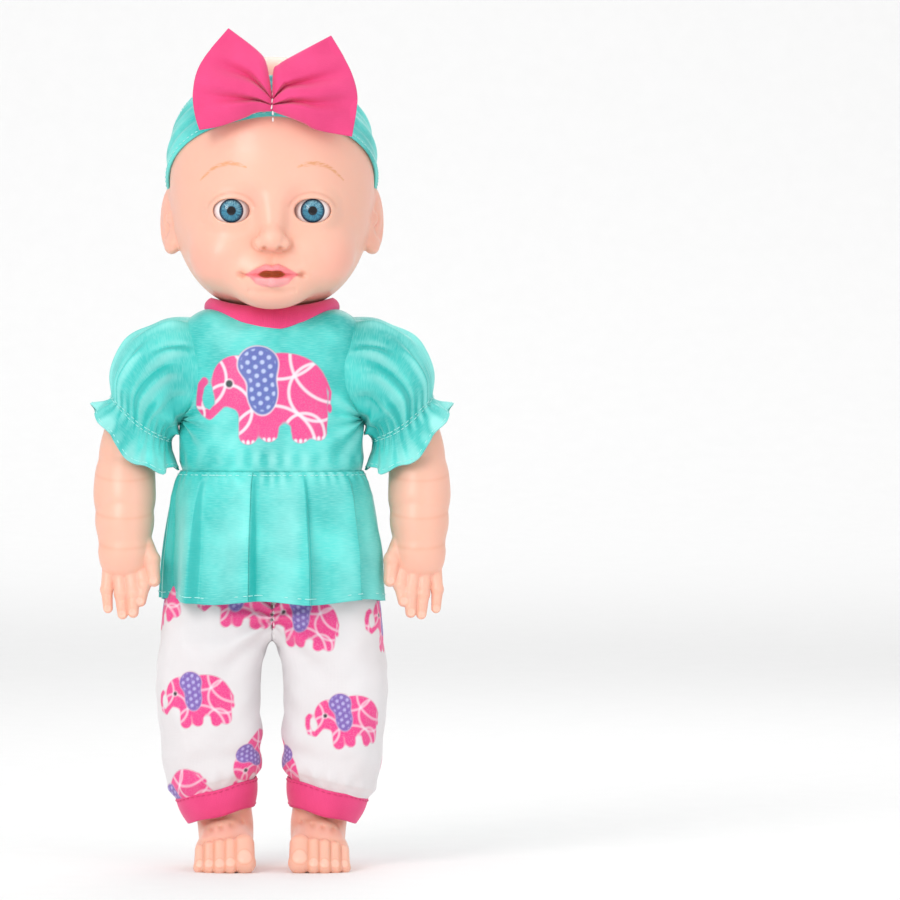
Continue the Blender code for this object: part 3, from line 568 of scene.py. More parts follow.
def plastic_material(name, colour, roughness=0.38, metallic=0.0, speck=0.06, grain=900.0):
    """Moulded plastic or plain metal: slight tone and gloss variation and a fine moulded grain."""
    n = Nodes(name)
    fine = n.noise(grain)
    return n.finish(
        Base_Color=n.mix(n.ramp(n.noise(90.0), 0.3, 0.75, 0.0, 3 * speck), colour, darker(colour, 0.72)),
        Roughness=n.ramp(fine, 0.3, 0.7, roughness - speck, roughness + speck),
        Normal=n.bump(fine, 0.15, 0.0002),
        Metallic=metallic,
    )


IRIS_R, PUPIL_R = 0.00518, 0.00188


def eye_material():
    """A polished eye: pinkish white, a blue iris with radial strands and a dark rim, and a black pupil."""
    n = Nodes("eye_paint")
    x, _, z = n.node("ShaderNodeSeparateXYZ", ((0, n.where),)).outputs
    radius = n.math("SQRT", n.math("ADD", n.math("MULTIPLY", x, x), n.math("MULTIPLY", z, z)))
    angle = n.math("ARCTAN2", z, x)
    circle = [n.math("MULTIPLY", n.math(wave, angle), 7.0) for wave in ("COSINE", "SINE")]
    circle.append(n.math("MULTIPLY", radius, 260.0))
    strands = n.noise(1.6, 4.0, 0.65, n.node("ShaderNodeCombineXYZ", enumerate(circle)).outputs[0])
    blue = n.mix(n.ramp(strands, 0.36, 0.66), rgba(0.006, 0.075, 0.15), rgba(0.055, 0.3, 0.44))
    # Paler strands in the upper half of the iris: a painted highlight, as from the lamps above.
    upper = n.math("MULTIPLY", n.ramp(z, -0.0006, 0.0034), n.ramp(strands, 0.42, 0.62))
    blue = n.mix(n.math("MULTIPLY", upper, 0.6), blue, rgba(0.42, 0.72, 0.8))
    blue = n.mix(n.ramp(radius, IRIS_R - 0.00125, IRIS_R - 0.0003), blue, rgba(0.006, 0.014, 0.04))
    pupil = n.ramp(radius, PUPIL_R - 0.00012, PUPIL_R + 0.00035, 1.0, 0.0)
    blue = n.mix(pupil, blue, rgba(0.004, 0.004, 0.006))
    white = n.mix(n.ramp(radius, 0.0062, 0.0092), rgba(0.86, 0.79, 0.79), rgba(0.8, 0.52, 0.47))
    return n.finish(
        Base_Color=n.mix(n.ramp(radius, IRIS_R - 0.0001, IRIS_R + 0.00015), blue, white),
        Roughness=n.ramp(strands, 0.3, 0.7, 0.1, 0.16),
        Normal=n.bump(strands, 0.02, 0.0001),
        Coat_Weight=0.45,
        Coat_Roughness=0.02,
        Specular_IOR_Level=0.25,
    )


vinyl_limb = vinyl_material("vinyl_limb", LIMB_PAINT)
aqua = satin_material("satin_aqua")
pink = cotton_material("cotton_pink", rgba(0.84, 0.06, 0.235), rgba(0.66, 0.035, 0.16))
pink_knit = cotton_material("knit_pink", rgba(0.88, 0.07, 0.25), rgba(0.7, 0.035, 0.17), 0.0007, rib=True)
aqua_thread = thread_material("thread_aqua", rgba(0.45, 0.9, 0.87))
white_thread = thread_material("thread_white", rgba(0.9, 0.88, 0.88))


# ---------------------------------------------------------------- the head
HEAD_MID = (0.0, 0.0025, 0.305)
HEAD_HALF = (0.0446, 0.0495)
HEAD_RISE, HEAD_DROP = 0.051, 0.06
eye_low, eye_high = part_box("eye_left")
EYE = np.array((eye_low + eye_high) / 2)
EYE_R = float(eye_high.x - eye_low.x) / 2 + 0.00015


def head_base(p):
    """The bald head without its features, as an approximate distance."""
    x, y, z = (p[..., i] - HEAD_MID[i] for i in range(3))
    front = smoothstep(0.03, -0.012, y)
    power = np.where(z > 0, 2.08, 2.12 + 0.42 * front)
    rise = np.where(z > 0, HEAD_RISE, HEAD_DROP)
    level = ((np.abs(x) / HEAD_HALF[0]) ** 2.12 + (np.abs(y) / HEAD_HALF[1]) ** 2.12) ** (power / 2.12)
    f = (level + (np.abs(z) / rise) ** power) ** (1 / power)
    return (f - 1) * 0.047


def on_head(directions, centre):
    """Points on the bald head, seen in those directions from a point inside it."""
    low = np.full(len(directions), 0.02)
    high = np.full(len(directions), 0.09)
    for _ in range(22):
        mid = (low + high) / 2
        out = head_base(centre + directions * mid[:, None]) > 0
        high = np.where(out, mid, high)
        low = np.where(out, low, mid)
    return centre + directions * low[:, None]


def shape_head(step):
    f = Field((-0.052, -0.0565, 0.2425), (0.052, 0.0545, 0.358), step)
    f.whole(head_base)
    # Cheeks, chin and the fullness round the mouth.
    for side in (-1, 1):
        f.add_ellipsoid((side * 0.0205, -0.029, 0.268), (0.014, 0.0155, 0.014), 0.01)
    f.add_ellipsoid((0, -0.036, 0.254), (0.013, 0.0098, 0.0078), 0.012)
    f.add_ellipsoid((0, -0.0385, 0.2615), (0.015, 0.009, 0.0095), 0.008)
    # Eye sockets, then the lids as a skin over each eye.
    for side in (-1, 1):
        eye = EYE * (side, 1, 1)
        f.add_ellipsoid(eye + (0, -0.015, 0.0005), (0.012, 0.0055, 0.0085), 0.006, cut=True)
        f.add_ellipsoid(eye, (EYE_R + 0.0016, EYE_R + 0.0015, EYE_R + 0.0016), 0.0035)
    # The nose: a short bridge, a round tip and two wings.
    f.add_cone((0, -0.0425, 0.29), (0, -0.048, 0.2775), 0.0042, 0.004, 0.006)
    f.add_ellipsoid((0, -0.05, 0.2757), (0.005, 0.0047, 0.0046), 0.0028)
    for side in (-1, 1):
        f.add_ellipsoid((side * 0.0047, -0.0478, 0.2741), (0.003, 0.0036, 0.0029), 0.0016)
        f.add_ellipsoid((side * 0.0034, -0.0503, 0.2716), (0.0011, 0.0022, 0.0008), 0.0006, cut=True)
    f.add_cone((0, -0.0482, 0.269), (0, -0.049, 0.2662), 0.0002, 0.0002, 0.0004)
    f.groove(lambda p: p[..., 0], (-0.004, -0.056, 0.2655), (0.004, -0.04, 0.27), 0.00035, 0.0011)
    # Lips, parted, with the mouth cavity behind them.
    for side in (-1, 1):
        f.add_cone((side * 0.0022, -0.0497, 0.2631), (side * 0.0098, -0.0462, 0.2606), 0.0019, 0.0007, 0.0014)
        f.add_cone((0, -0.0495, 0.2574), (side * 0.0076, -0.0468, 0.2588), 0.0023, 0.0012, 0.0014)
    f.add_ellipsoid((0, -0.0502, 0.2625), (0.002, 0.0018, 0.0014), 0.0012)
    for side in (-1, 1):
        f.add_ellipsoid((side * 0.0018, -0.049, 0.2607), (0.0033, 0.0042, 0.0016), 0.0006, cut=True)
        f.add_ellipsoid((side * 0.0134, -0.0455, 0.2604), (0.0016, 0.0016, 0.0012), 0.0016, cut=True)
    f.groove(lambda p: p[..., 2] - 0.2604, (-0.0125, -0.056, 0.258), (0.0125, -0.042, 0.263), 0.0007, 0.0005)
    f.groove(lambda p: p[..., 2] - 0.2537, (-0.01, -0.056, 0.251), (0.01, -0.04, 0.2565), 0.0005, 0.0012)
    # Upper lid crease, then the openings and the room for the eyes.
    for side in (-1, 1):
        eye = EYE * (side, 1, 1)

        def crease(p, eye=eye):
            q = (p - eye) / (0.0102, 1.0, 0.0079)
            return (np.hypot(q[..., 0], q[..., 2]) - 1) * 0.0085 + 0.02 * (p[..., 2] < eye[2] + 0.001)

        f.groove(crease, eye + (-0.0125, -0.02, 0.0), eye + (0.0125, 0.0, 0.0115), 0.0003, 0.0006)

        def opening(p, eye=eye):
            q = np.abs((p - eye) / (0.0078, 1.0, 0.0051))
            return -((q[..., 0] ** 2.15 + q[..., 2] ** 2.15) ** (1 / 2.15) - 1) * 0.0062

        reach = np.array((0.0115, 0.022, 0.0095))
        f.apply(opening, eye - reach, eye + (0.0115, -0.002, 0.0095), smooth_max, 0.0009)
        f.add_ellipsoid(eye, (EYE_R + 0.00025,) * 3, 0.0003, cut=True)
    for side in (-1, 1):
        low_x, high_x = sorted((side * 0.034, side * 0.0515))
        low, high = (low_x, -0.01, 0.265), (high_x, 0.022, 0.307)
        f.apply(lambda p, side=side: ear(p, side), low, high, smooth_min, 0.0016)
    # The neck opening.
    def neck_hole(p):
        radial = np.hypot(p[..., 0], p[..., 1] - 0.003)
        slot = np.maximum(radial - 0.0137, p[..., 2] - 0.2525)
        room = np.maximum(radial - 0.0184, np.abs(p[..., 2] - 0.25) - 0.0022)
        return -np.minimum(slot, room)

    f.apply(neck_hole, (-0.021, -0.018, 0.2425), (0.021, 0.024, 0.255), smooth_max, 0.0004)
    return f


def ear(p, side):
    """An outer ear: a rimmed shell with a hollow, and a lobe."""
    centre = np.array((side * 0.0438, 0.006, 0.2852))
    lean = math.radians(12)
    q = p - centre
    y = q[..., 1] * math.cos(lean) - q[..., 2] * math.sin(lean)
    z = q[..., 1] * math.sin(lean) + q[..., 2] * math.cos(lean)
    x = q[..., 0] * side + 0.32 * y * -1
    r = np.stack([x, y, z], -1)
    body = ellipsoid(r, (0.0002, 0, 0), (0.004, 0.0092, 0.015))
    bowl = ellipsoid(r, (0.0044, -0.0012, 0.001), (0.0034, 0.0064, 0.011))
    hole = ellipsoid(r, (0.0032, -0.0035, -0.001), (0.003, 0.003, 0.0036))
    ridge = ellipsoid(r, (0.0018, 0.001, 0.0015), (0.0024, 0.005, 0.0088))
    shape = smooth_max(body, -bowl, 0.0012)
    shape = smooth_min(shape, ridge + 0.0006, 0.0012)
    shape = smooth_max(shape, -hole, 0.001)
    lobe = ellipsoid(r, (0.0006, -0.003, -0.0122), (0.0032, 0.0044, 0.004))
    tragus = ellipsoid(r, (0.0022, -0.0072, -0.001), (0.0026, 0.0022, 0.0034))
    return smooth_min(smooth_min(shape, lobe, 0.002), tragus, 0.0012)


# The painted brow on one side: x and z, in millimetres.
BROW = MM * np.array((
    (-30.8, 301.4), (-28.2, 304), (-24.5, 306.8), (-19, 308.4), (-15.5, 308.1), (-11.2, 306.8),
))
# The lips' edges on one side: distance from the middle, then height.
LIPS_HIGH = (0, 0.0028, 0.006, 0.0113, 0.0125), (0.2643, 0.265, 0.2636, 0.2608, 0.2602)
LIPS_LOW = (0, 0.004, 0.007, 0.0094, 0.0113), (0.2551, 0.2554, 0.2567, 0.2592, 0.2602)


def paint_face(made, points):
    """Masks for the painted features, and for painted shade and painted highlights, from each point's place on
    the face.
    """
    x, y, z = points.T
    front = smoothstep(-0.02, -0.03, y)
    centre_x = np.abs(x)
    lips_high = np.interp(centre_x, *LIPS_HIGH)
    lips_low = np.interp(centre_x, *LIPS_LOW)
    inside = smoothstep(-0.0004, 0.0004, np.minimum(lips_high - z, z - lips_low)) * front
    inside = inside * smoothstep(0.0124, 0.0112, centre_x)
    paint_attribute(made, "lips", inside * 0.85)
    # A painted highlight on the lower lip, and a fainter one on the upper lip.
    lower = inside * smoothstep(0.2594, 0.2584, z) * smoothstep(0.0085, 0.0065, centre_x)
    upper = inside * smoothstep(0.2622, 0.2632, z) * 0.35
    paint_attribute(made, "lip_shine", np.maximum(lower, upper) * 0.85)
    gap = (centre_x / 0.0056) ** 2 + ((z - 0.2607) / 0.002) ** 2
    deep = smoothstep(1.15, 0.9, gap) * smoothstep(-0.0482, -0.0468, y) * (y < -0.03)
    paint_attribute(made, "mouth", deep)
    # Painted shade: darker in the mouth line and its corners, under the lower lip, in the nostrils and round
    # the nose wings.
    crease = bell(z - 0.2604, 0.0004) * smoothstep(0.0128, 0.0115, centre_x) * front * 0.5
    corner = bell(centre_x - 0.0135, 0.0018) * bell(z - 0.2604, 0.0014) * 0.35
    under_lip = bell(z - 0.2536, 0.0012) * smoothstep(0.0095, 0.004, centre_x) * 0.22
    nostril = bell(centre_x - 0.0034, 0.001) * bell(z - 0.272, 0.0008) * 0.85
    wing = np.hypot((centre_x - 0.0048) / 0.0041, (z - 0.2741) / 0.0036)
    wing = bell(wing - 1, 0.16) * (centre_x > 0.004) * smoothstep(0.2775, 0.2735, z) * 0.42
    for layer in (corner, under_lip, nostril, wing):
        crease = np.maximum(crease, layer * front)
    # Painted shade round each eye opening and along the lid crease.
    for side in (-1, 1):
        dx, dz = (x - side * EYE[0]), z - EYE[2]
        rim = (np.abs(dx / 0.0078) ** 2.15 + np.abs(dz / 0.0051) ** 2.15) ** (1 / 2.15)
        edge = bell(rim - 1.0, 0.06) * 0.62
        lid = np.hypot(dx / 0.0102, dz / 0.0079)
        fold_shading = bell(lid - 1, 0.07) * smoothstep(0.0006, 0.0035, dz) * 0.3
        crease = np.maximum(crease, np.maximum(edge, fold_shading) * front)
    paint_attribute(made, "crease", crease)
    # Blush on the cheeks, pinker towards the sides of the head and on the ears, and painted shade in the eye
    # sockets by the nose and under the chin.
    cheek = bell(centre_x - 0.0285, 0.01) * bell(z - 0.2655, 0.0105) * 0.42
    socket = bell(centre_x - 0.009, 0.0045) * bell(z - 0.2935, 0.0055) * 0.36
    temple = smoothstep(0.036, 0.046, centre_x) * 0.22
    under = smoothstep(0.253, 0.246, z) * 0.25
    ears = smoothstep(0.0435, 0.0475, centre_x) * 0.25
    paint_attribute(made, "blush_and_shade", np.maximum.reduce([cheek * front, socket * front, temple, under, ears]))
    path = spline(BROW, 160)
    width = np.interp(np.linspace(0, 1, 160), (0, 0.2, 0.6, 0.85, 1), (0.0003, 0.0006, 0.0011, 0.001, 0.0004))
    near = front > 0.5
    brow = np.zeros(len(points))
    some = np.flatnonzero(near & (z > 0.298) & (z < 0.312) & (centre_x > 0.008) & (centre_x < 0.034))
    flat = np.stack([-centre_x[some], z[some]], 1)
    distance = np.linalg.norm(flat[:, None] - path[None], axis=2)
    closest = distance.argmin(1)
    gap = distance.min(1)
    brow[some] = smoothstep(1.25, 0.45, gap / width[closest]) * 0.8
    paint_attribute(made, "brow", brow)


def make_head():
    head, points = field_object(
        "head_vinyl", shape_head(0.00058), vinyl_material("vinyl_face", FACE_PAINT)
    )
    paint_face(head, points)
    attach(head, "head", "vinyl_skin", "head_shell")
    eye_paint = eye_material()
    for side_name, side in SIDES:
        # An eyeball turned about Y, with a slightly raised clear front.
        rows, columns = 49, 64
        polar = np.linspace(0, math.pi, rows)[:, None]
        turn = np.linspace(0, 2 * math.pi, columns, endpoint=False)
        reach = EYE_R * (1 + 0.035 * np.exp(-((polar / 0.5) ** 4)))
        across = reach * np.sin(polar)
        ahead = np.tile(-reach * np.cos(polar), columns)
        ball = np.stack([across * np.cos(turn), ahead, across * np.sin(turn)], -1)
        quads = sheet_grid(rows, columns, True)[0][:, ::-1]
        eye = quad_mesh(f"eye_{side_name}_ball", ball.reshape(-1, 3), quads, eye_paint)
        eye.location = EYE * (side, 1, 1)
        attach(eye, "head", "eye_acrylic", f"eye_{side_name}")


# ---------------------------------------------------------------- cloth made as closed thin layers


def point_normals(points, quads):
    a, b, c, d = (points[quads[:, i]] for i in range(4))
    face = np.cross(c - a, d - b)
    normals = np.zeros_like(points)
    for i in range(4):
        for axis in range(3):
            normals[:, axis] += np.bincount(quads[:, i], face[:, axis], len(points))
    return unit(normals)

def cloth(name, points, material, thickness, inward, closed=True, uv=None, keep=None, ink=None, fold_shading=None):
    """A closed thin layer of cloth. Its outer face passes through the grid of points, away from the inward one.
    Points outside keep are left out, ink paints them, and the fold values are painted light and shade: how far
    each faces the light (1 to -1)."""
    rows, columns, _ = points.shape
    quads, (r, c) = sheet_grid(rows, columns, closed)
    if uv is None:
        around = np.concatenate([points, points[:, :1]], 1) if closed else points
        along = np.linalg.norm(np.diff(around, axis=1), axis=2).mean(0)
        down = np.linalg.norm(np.diff(points, axis=0), axis=2).mean(1)
        uv = np.stack(np.meshgrid(*(np.concatenate([[0], np.cumsum(steps)]) for steps in (along, down))), -1)
    after = (c + 1) % uv.shape[1]
    corner_uv = np.stack([uv[r, c], uv[r, after], uv[r + 1, after], uv[r + 1, c]], 1)
    if keep is not None:
        kept = keep.ravel()[quads].all(1)
        corner_uv, quads = corner_uv[kept], quads[kept]
    flat = points.reshape(-1, 3)
    normals = point_normals(flat, quads)
    away = ((flat - np.array(inward)) * normals).sum(1)
    if away[quads.ravel()].sum() < 0:
        quads, corner_uv, normals = quads[:, ::-1], corner_uv[:, ::-1], -normals
    count = len(flat)
    sides = np.concatenate([quads[:, [i, (i + 1) % 4]] for i in range(4)])
    side_uv = np.concatenate([corner_uv[:, [i, (i + 1) % 4]] for i in range(4)])
    key = np.sort(sides, 1) @ np.array((count, 1))
    _, first, number = np.unique(key, return_index=True, return_counts=True)
    rim = first[number == 1]
    a, b = sides[rim].T
    both = np.concatenate([flat, flat - normals * thickness])
    faces = np.concatenate([quads, quads[:, ::-1] + count, np.stack([b, a, a + count, b + count], 1)])
    corner_uv = np.concatenate([corner_uv, corner_uv[:, ::-1], side_uv[rim][:, [1, 0, 0, 1]]])
    used, index = np.unique(faces, return_inverse=True)
    made = quad_mesh(name, both[used], index.reshape(-1, 4), material, corner_uv)
    if ink is not None:
        values = np.concatenate([ink.reshape(-1, 4), np.zeros((count, 4))])[used]
        layer = made.data.attributes.new("ink", "FLOAT_COLOR", "POINT")
        layer.data.foreach_set("color", values.astype(np.float32).ravel())
    if fold_shading is not None:
        paint_attribute(made, "fold_shading", np.tile(np.clip(fold_shading, -1, 1).ravel(), 2)[used])
    return made, normals.reshape(points.shape)


def light_on(depth, points, closed=True):
    """How cloth folds of that depth face a light from the doll's right: from their slope across the cloth."""
    if closed:
        depth = np.concatenate([depth[:, -1:], depth, depth[:, :1]], 1)
        points = np.concatenate([points[:, -1:], points, points[:, :1]], 1)
    run = np.linalg.norm(np.gradient(points, axis=1), axis=2)
    found = np.gradient(depth, axis=1) / np.maximum(run, 1e-6)
    return found[:, 1:-1] if closed else found


# ---------------------------------------------------------------- a printed animal of simple shapes
def flat_line(p, path, width):
    """Distance to a bent line of that width, in the flat."""
    best = np.full(p.shape[:-1], 9.0)
    for a, b in zip(path, path[1:]):
        a, b = np.array(a), np.array(b)
        t = np.clip(((p - a) @ (b - a)) / ((b - a) @ (b - a)), 0, 1)
        best = np.minimum(best, np.linalg.norm(p - a - t[..., None] * (b - a), axis=-1))
    return best - width


def flat_oval(p, centre, radii, turn=0.0):
    q = p - np.array(centre)
    c, s = math.cos(turn), math.sin(turn)
    q = np.stack([q[..., 0] * c + q[..., 1] * s, -q[..., 0] * s + q[..., 1] * c], -1) / np.array(radii)
    return (np.linalg.norm(q, axis=-1) - 1) * min(radii)


FEET = ((-0.13, -0.375), (0.03, -0.355), (0.27, -0.365), (0.41, -0.345))
TRUNK = (
    (-0.31, 0.04), (-0.37, -0.09), (-0.44, -0.155), (-0.515, -0.12), (-0.535, -0.02), (-0.52, 0.07),
    (-0.49, 0.1),
)
RINGS = (
    ((0.1, 0.5), 0.38),
    ((0.4, 0.02), 0.22),
    ((0.55, 0.3), 0.36),
    ((0.05, -0.42), 0.34),
    ((-0.3, -0.12), 0.2),
    ((0.3, -0.3), 0.16),
    ((-0.52, 0.12), 0.22),
)
PINK_INK, WHITE_INK = (0.86, 0.04, 0.26), (0.92, 0.8, 0.88)
INK_BLUR = 0.0004


def elephant(ink, u, v, centre, width, ear, dot, turn=0.0):
    """Paints one elephant, facing the print's left, on a cloth whose flat coordinates are u and v. Its own
    outline is in shares of its width. A wide one has finer rings and dots, and toes."""
    c, s = math.cos(turn), math.sin(turn)
    du, dv = (u - centre[0]) / width, (v - centre[1]) / width
    p = np.stack([du * c + dv * s, -du * s + dv * c], -1)
    near = np.abs(p).max(-1) < 0.75
    if not near.any():
        return
    p = p[near]
    wide = width > 0.045
    blur = INK_BLUR / width

    def cover(distance):
        return smoothstep(blur, -blur, distance)

    body = flat_oval(p, (0.13, 0.05), (0.35, 0.27))
    body = smooth_min(body, flat_oval(p, (-0.22, 0.1), (0.2, 0.2)), 0.1)
    for x, foot in FEET:
        body = smooth_min(body, flat_line(p, ((x, -0.05), (x, foot + 0.07)), 0.072), 0.05)
    body = smooth_min(body, flat_line(p, TRUNK, 0.034), 0.06)
    tail = flat_line(p, ((0.46, 0.12), (0.505, 0.02), (0.5, -0.07)), 0.012)
    body = np.minimum(body, np.minimum(tail, flat_oval(p, (0.5, -0.1), (0.022, 0.035))))
    body = np.maximum(body, -flat_oval(p, (0.15, -0.36), (0.058, 0.15)))
    paint = np.zeros(p.shape[:-1] + (4,))

    def lay(colour, amount):
        paint[..., :3] = paint[..., :3] * (1 - amount[..., None]) + np.array(colour) * amount[..., None]
        paint[..., 3] = np.maximum(paint[..., 3], amount)

    inside = cover(body)
    lay(PINK_INK, inside)
    paint[..., :3] = PINK_INK
    for middle, radius in RINGS:
        ring = np.abs(np.linalg.norm(p - np.array(middle), axis=-1) - radius) - (0.0115 if wide else 0.014)
        lay(WHITE_INK, cover(ring) * inside * (0.85 if wide else 0.6))
    for x, foot in FEET if wide else ():
        for step in (-0.038, 0.0, 0.038):
            lay(WHITE_INK, cover(flat_oval(p, (x + step, foot + 0.012), (0.013, 0.019))) * inside)
    lobe = flat_oval(p, (-0.055, 0.235), (0.155, 0.135))
    lobe = smooth_min(lobe, flat_oval(p, (-0.02, 0.02), (0.115, 0.17)), 0.08)
    lay(WHITE_INK, cover(lobe - (0.006 if wide else 0.0)))
    lay(ear, cover(lobe))
    gap = 0.062 if wide else 0.078
    grid = p @ np.array(((0.82, -0.57), (0.57, 0.82))) / gap
    grid[..., 0] += 0.5 * (np.floor(grid[..., 1]) % 2)
    cell = np.linalg.norm(grid - np.floor(grid) - 0.5, axis=-1) * gap
    lay(dot, cover(cell - gap * 0.27) * cover(lobe + 0.018))
    lay((0.92, 0.85, 0.88), cover(flat_oval(p, (-0.275, 0.085), (0.04, 0.04))) * 0.6)
    lay((0.01, 0.01, 0.015), cover(flat_oval(p, (-0.275, 0.085), (0.028, 0.028))))
    old = ink[near]
    share = paint[..., 3:]
    old[..., :3] = np.where(share > old[..., 3:] * 0.999, paint[..., :3], old[..., :3])
    old[..., 3:] = np.maximum(old[..., 3:], share)
    ink[near] = old


# ---------------------------------------------------------------- the body under the clothes
# The body's outline in millimetres: height, half width, half depth.
BODY = MM * np.array((
    (102, 16, 10), (106, 29, 19), (120, 36, 26), (145, 38.5, 31), (165, 38.5, 32.5), (185, 37.8, 31.8),
    (206, 37.4, 30.8), (226, 37.2, 29.8), (234, 36, 28.2), (238.5, 32, 25.2), (241, 23, 20),
))
BODY_POWER = 2.5
PROFILE = spline(BODY, 400)
SHOULDER_Z = 0.219
WAIST_Z = 0.175
ARMHOLE_R = 0.015
# The top's own outline in millimetres: height, half width, half depth.
BODICE = MM * np.array((
    (174.1, 38.6, 32.6), (177.5, 39.6, 33.6), (185, 40, 34), (206, 39.6, 33.2), (226, 39.5, 32.2),
    (235, 39.3, 30.6), (239.8, 37.6, 27.6), (242.4, 32.5, 24.5), (243.6, 23.5, 20.5),
))
SHOULDER_RISE = 0.0028


def shoulder_lift(x, z):
    """How far the top rises at each side of the neck."""
    return SHOULDER_RISE * bell(np.abs(x) - 0.0275, 0.0085) * smoothstep(0.235, 0.243, z)


def section(half_x, half_y, count, power=BODY_POWER):
    """Evenly spaced points round a level section, from the back by the doll's right side, and their distances
    along it from the front."""
    turn = np.linspace(-math.pi, math.pi, 721)
    c, s = np.cos(turn), np.sin(turn)
    x = half_x * np.sign(s) * np.abs(s) ** (2 / power)
    y = -half_y * np.sign(c) * np.abs(c) ** (2 / power)
    length = np.concatenate([[0], np.cumsum(np.hypot(np.diff(x), np.diff(y)))])
    want = np.linspace(0, 1, count, endpoint=False) * length[-1]
    return np.stack([np.interp(want, length, x), np.interp(want, length, y)], 1), want - length[-1] / 2


def neckline(angle, grow=0.0):
    """Reach of the neckline from its centre in a direction, 0 being the front."""
    front = np.cos(angle) > 0
    deep = np.where(front, 0.0279, 0.024) + grow
    return 1 / np.sqrt((np.sin(angle) / (0.0286 + grow)) ** 2 + (np.cos(angle) / deep) ** 2)


NECK_MID_Y = -0.0012


def make_bodice():
    columns, rows = ((620, 190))
    path = spline(BODICE, 400)
    place = np.concatenate([[0], np.cumsum(np.linalg.norm(np.diff(path, axis=0), axis=1))])
    levels, arcs = [], []
    for z, half_x, half_y in path:
        flat, arc = section(half_x, half_y, columns)
        levels.append(np.stack([*flat.T, z + shoulder_lift(flat[:, 0], z)], 1))
        arcs.append(arc)
    levels, arcs = np.array(levels), np.array(arcs)
    across, ahead = levels[..., 0], NECK_MID_Y - levels[..., 1]
    outside = np.hypot(across, ahead) - neckline(np.arctan2(across, ahead))
    points = np.zeros((rows, columns, 3))
    uv = np.zeros((rows, columns, 2))
    for c in range(columns):
        crossed = np.flatnonzero(outside[:, c] < 0)
        if len(crossed):
            j = crossed[0]
            t = outside[j - 1, c] / (outside[j - 1, c] - outside[j, c])
            end = place[j - 1] + t * (place[j] - place[j - 1])
        else:
            end = place[-1]
        want = np.linspace(0, end, rows)
        for i in range(3):
            points[:, c, i] = np.interp(want, place, levels[:, c, i])
        uv[:, c, 0] = np.interp(want, place, arcs[:, c])
        uv[:, c, 1] = want + BODICE[0, 0]
    normals = point_normals(points.reshape(-1, 3), sheet_grid(rows, columns, True)[0]).reshape(points.shape)
    if (normals[..., 0] * points[..., 0]).sum() < 0:
        normals = -normals
    x, y, z = (points[..., i] for i in range(3))
    fade = smoothstep(0.175, 0.182, z) * smoothstep(0.242, 0.236, z)
    folds = 0.0006 * rumple(points, 11, 0.034) + 0.00025 * rumple(points, 12, 0.013)
    # Soft pulls that fan out from under each arm, and a little fullness gathered at the waist seam.
    for side in (-1, 1):
        fan = np.arctan2(z - 0.198, side * 0.04 - x) * side
        pull = np.sin(9 * fan + side) * bell(np.hypot(x - side * 0.038, z - 0.197), 0.016)
        folds += 0.0009 * pull * (y < 0.01)
    gathers = np.sin(uv[..., 0] * TURN / 0.0085 + 2 * np.sin(uv[..., 0] * 90))
    folds += 0.00045 * gathers * smoothstep(0.188, 0.177, z)
    points += normals * (folds * fade)[..., None]
    # The armholes are cut out, hidden by the sleeves.
    radius = np.hypot(points[..., 1], points[..., 2] - SHOULDER_Z)
    keep = (np.abs(points[..., 0]) <= 0.026) | (radius >= ARMHOLE_R)
    points[..., 0] = np.clip(points[..., 0], -0.0404, 0.0404)
    ink = np.zeros((rows, columns, 4))
    elephant(ink, uv[..., 0], uv[..., 1], (-0.003, 0.209), 0.057, (0.115, 0.13, 0.46), (0.5, 0.56, 0.86))
    printed = satin_material("satin_aqua_printed", printed=True)
    # Painted light and shade on the folds, from how they face the light, with some random variation.
    fold_shading = 1.5 * light_on(folds * fade, points) + 0.25 * rumple(points, 13, 0.05)
    made, _ = cloth("bodice", points, printed, 0.001, (0, 0, 0.205), uv=uv, keep=keep, ink=ink, fold_shading=fold_shading)
    attach(made, "torso", "aqua_satin", "top_bodice")
    seam = stitches("bodice_seam", points[3], normals[3], aqua_thread, closed=True)
    attach(seam, "torso", "aqua_satin")


def surface_height(x, y, grow):
    """Height of the body's grown surface over a point near its top."""
    low, high = np.full(x.shape, 0.2), np.full(x.shape, BODICE[-1, 0])
    for _ in range(24):
        mid = (low + high) / 2
        half_x = np.interp(mid, BODICE[:, 0], BODICE[:, 1]) + grow
        half_y = np.interp(mid, BODICE[:, 0], BODICE[:, 2]) + grow
        inside = (np.abs(x) / half_x) ** BODY_POWER + (np.abs(y) / half_y) ** BODY_POWER < 1
        low, high = np.where(inside, mid, low), np.where(inside, high, mid)
    return low + shoulder_lift(x, low)


def make_collar():
    """A folded knit band that stands round the neck."""
    columns, rows = 260, 22
    angle = np.linspace(0, 2 * math.pi, columns, endpoint=False)
    outer = neckline(angle, 0.0006)
    x, y = outer * np.sin(angle), NECK_MID_Y - outer * np.cos(angle)
    base = np.stack([x, y, surface_height(x, y, 0.0004) - 0.0002], 1)
    inner = neckline(angle, -0.0068) + 0.0046 * np.sin(angle) ** 4
    x, y = inner * np.sin(angle), NECK_MID_Y - inner * np.cos(angle)
    top = np.stack([x, y, 0.2472 + 0.0036 * np.sin(angle) ** 4], 1)
    points = np.zeros((rows, columns, 3))
    outward = unit(np.stack([np.sin(angle), -np.cos(angle), np.full(columns, 0.35)], 1))
    for r in range(rows):
        t = r / (rows - 7)
        if t <= 1:
            points[r] = base + (top - base) * t + outward * 0.0014 * math.sin(math.pi * t) ** 0.7
        else:
            drop = (t - 1) * (rows - 7) / 6
            points[r] = top - outward * (0.0008, 0.0008, 0) * 1.2 * drop - UP * 0.0045 * drop
    made, _ = cloth("collar", points, pink_knit, 0.0009, (0, 0, 0.23))
    attach(made, "torso", "pink_cloth", "top_collar")


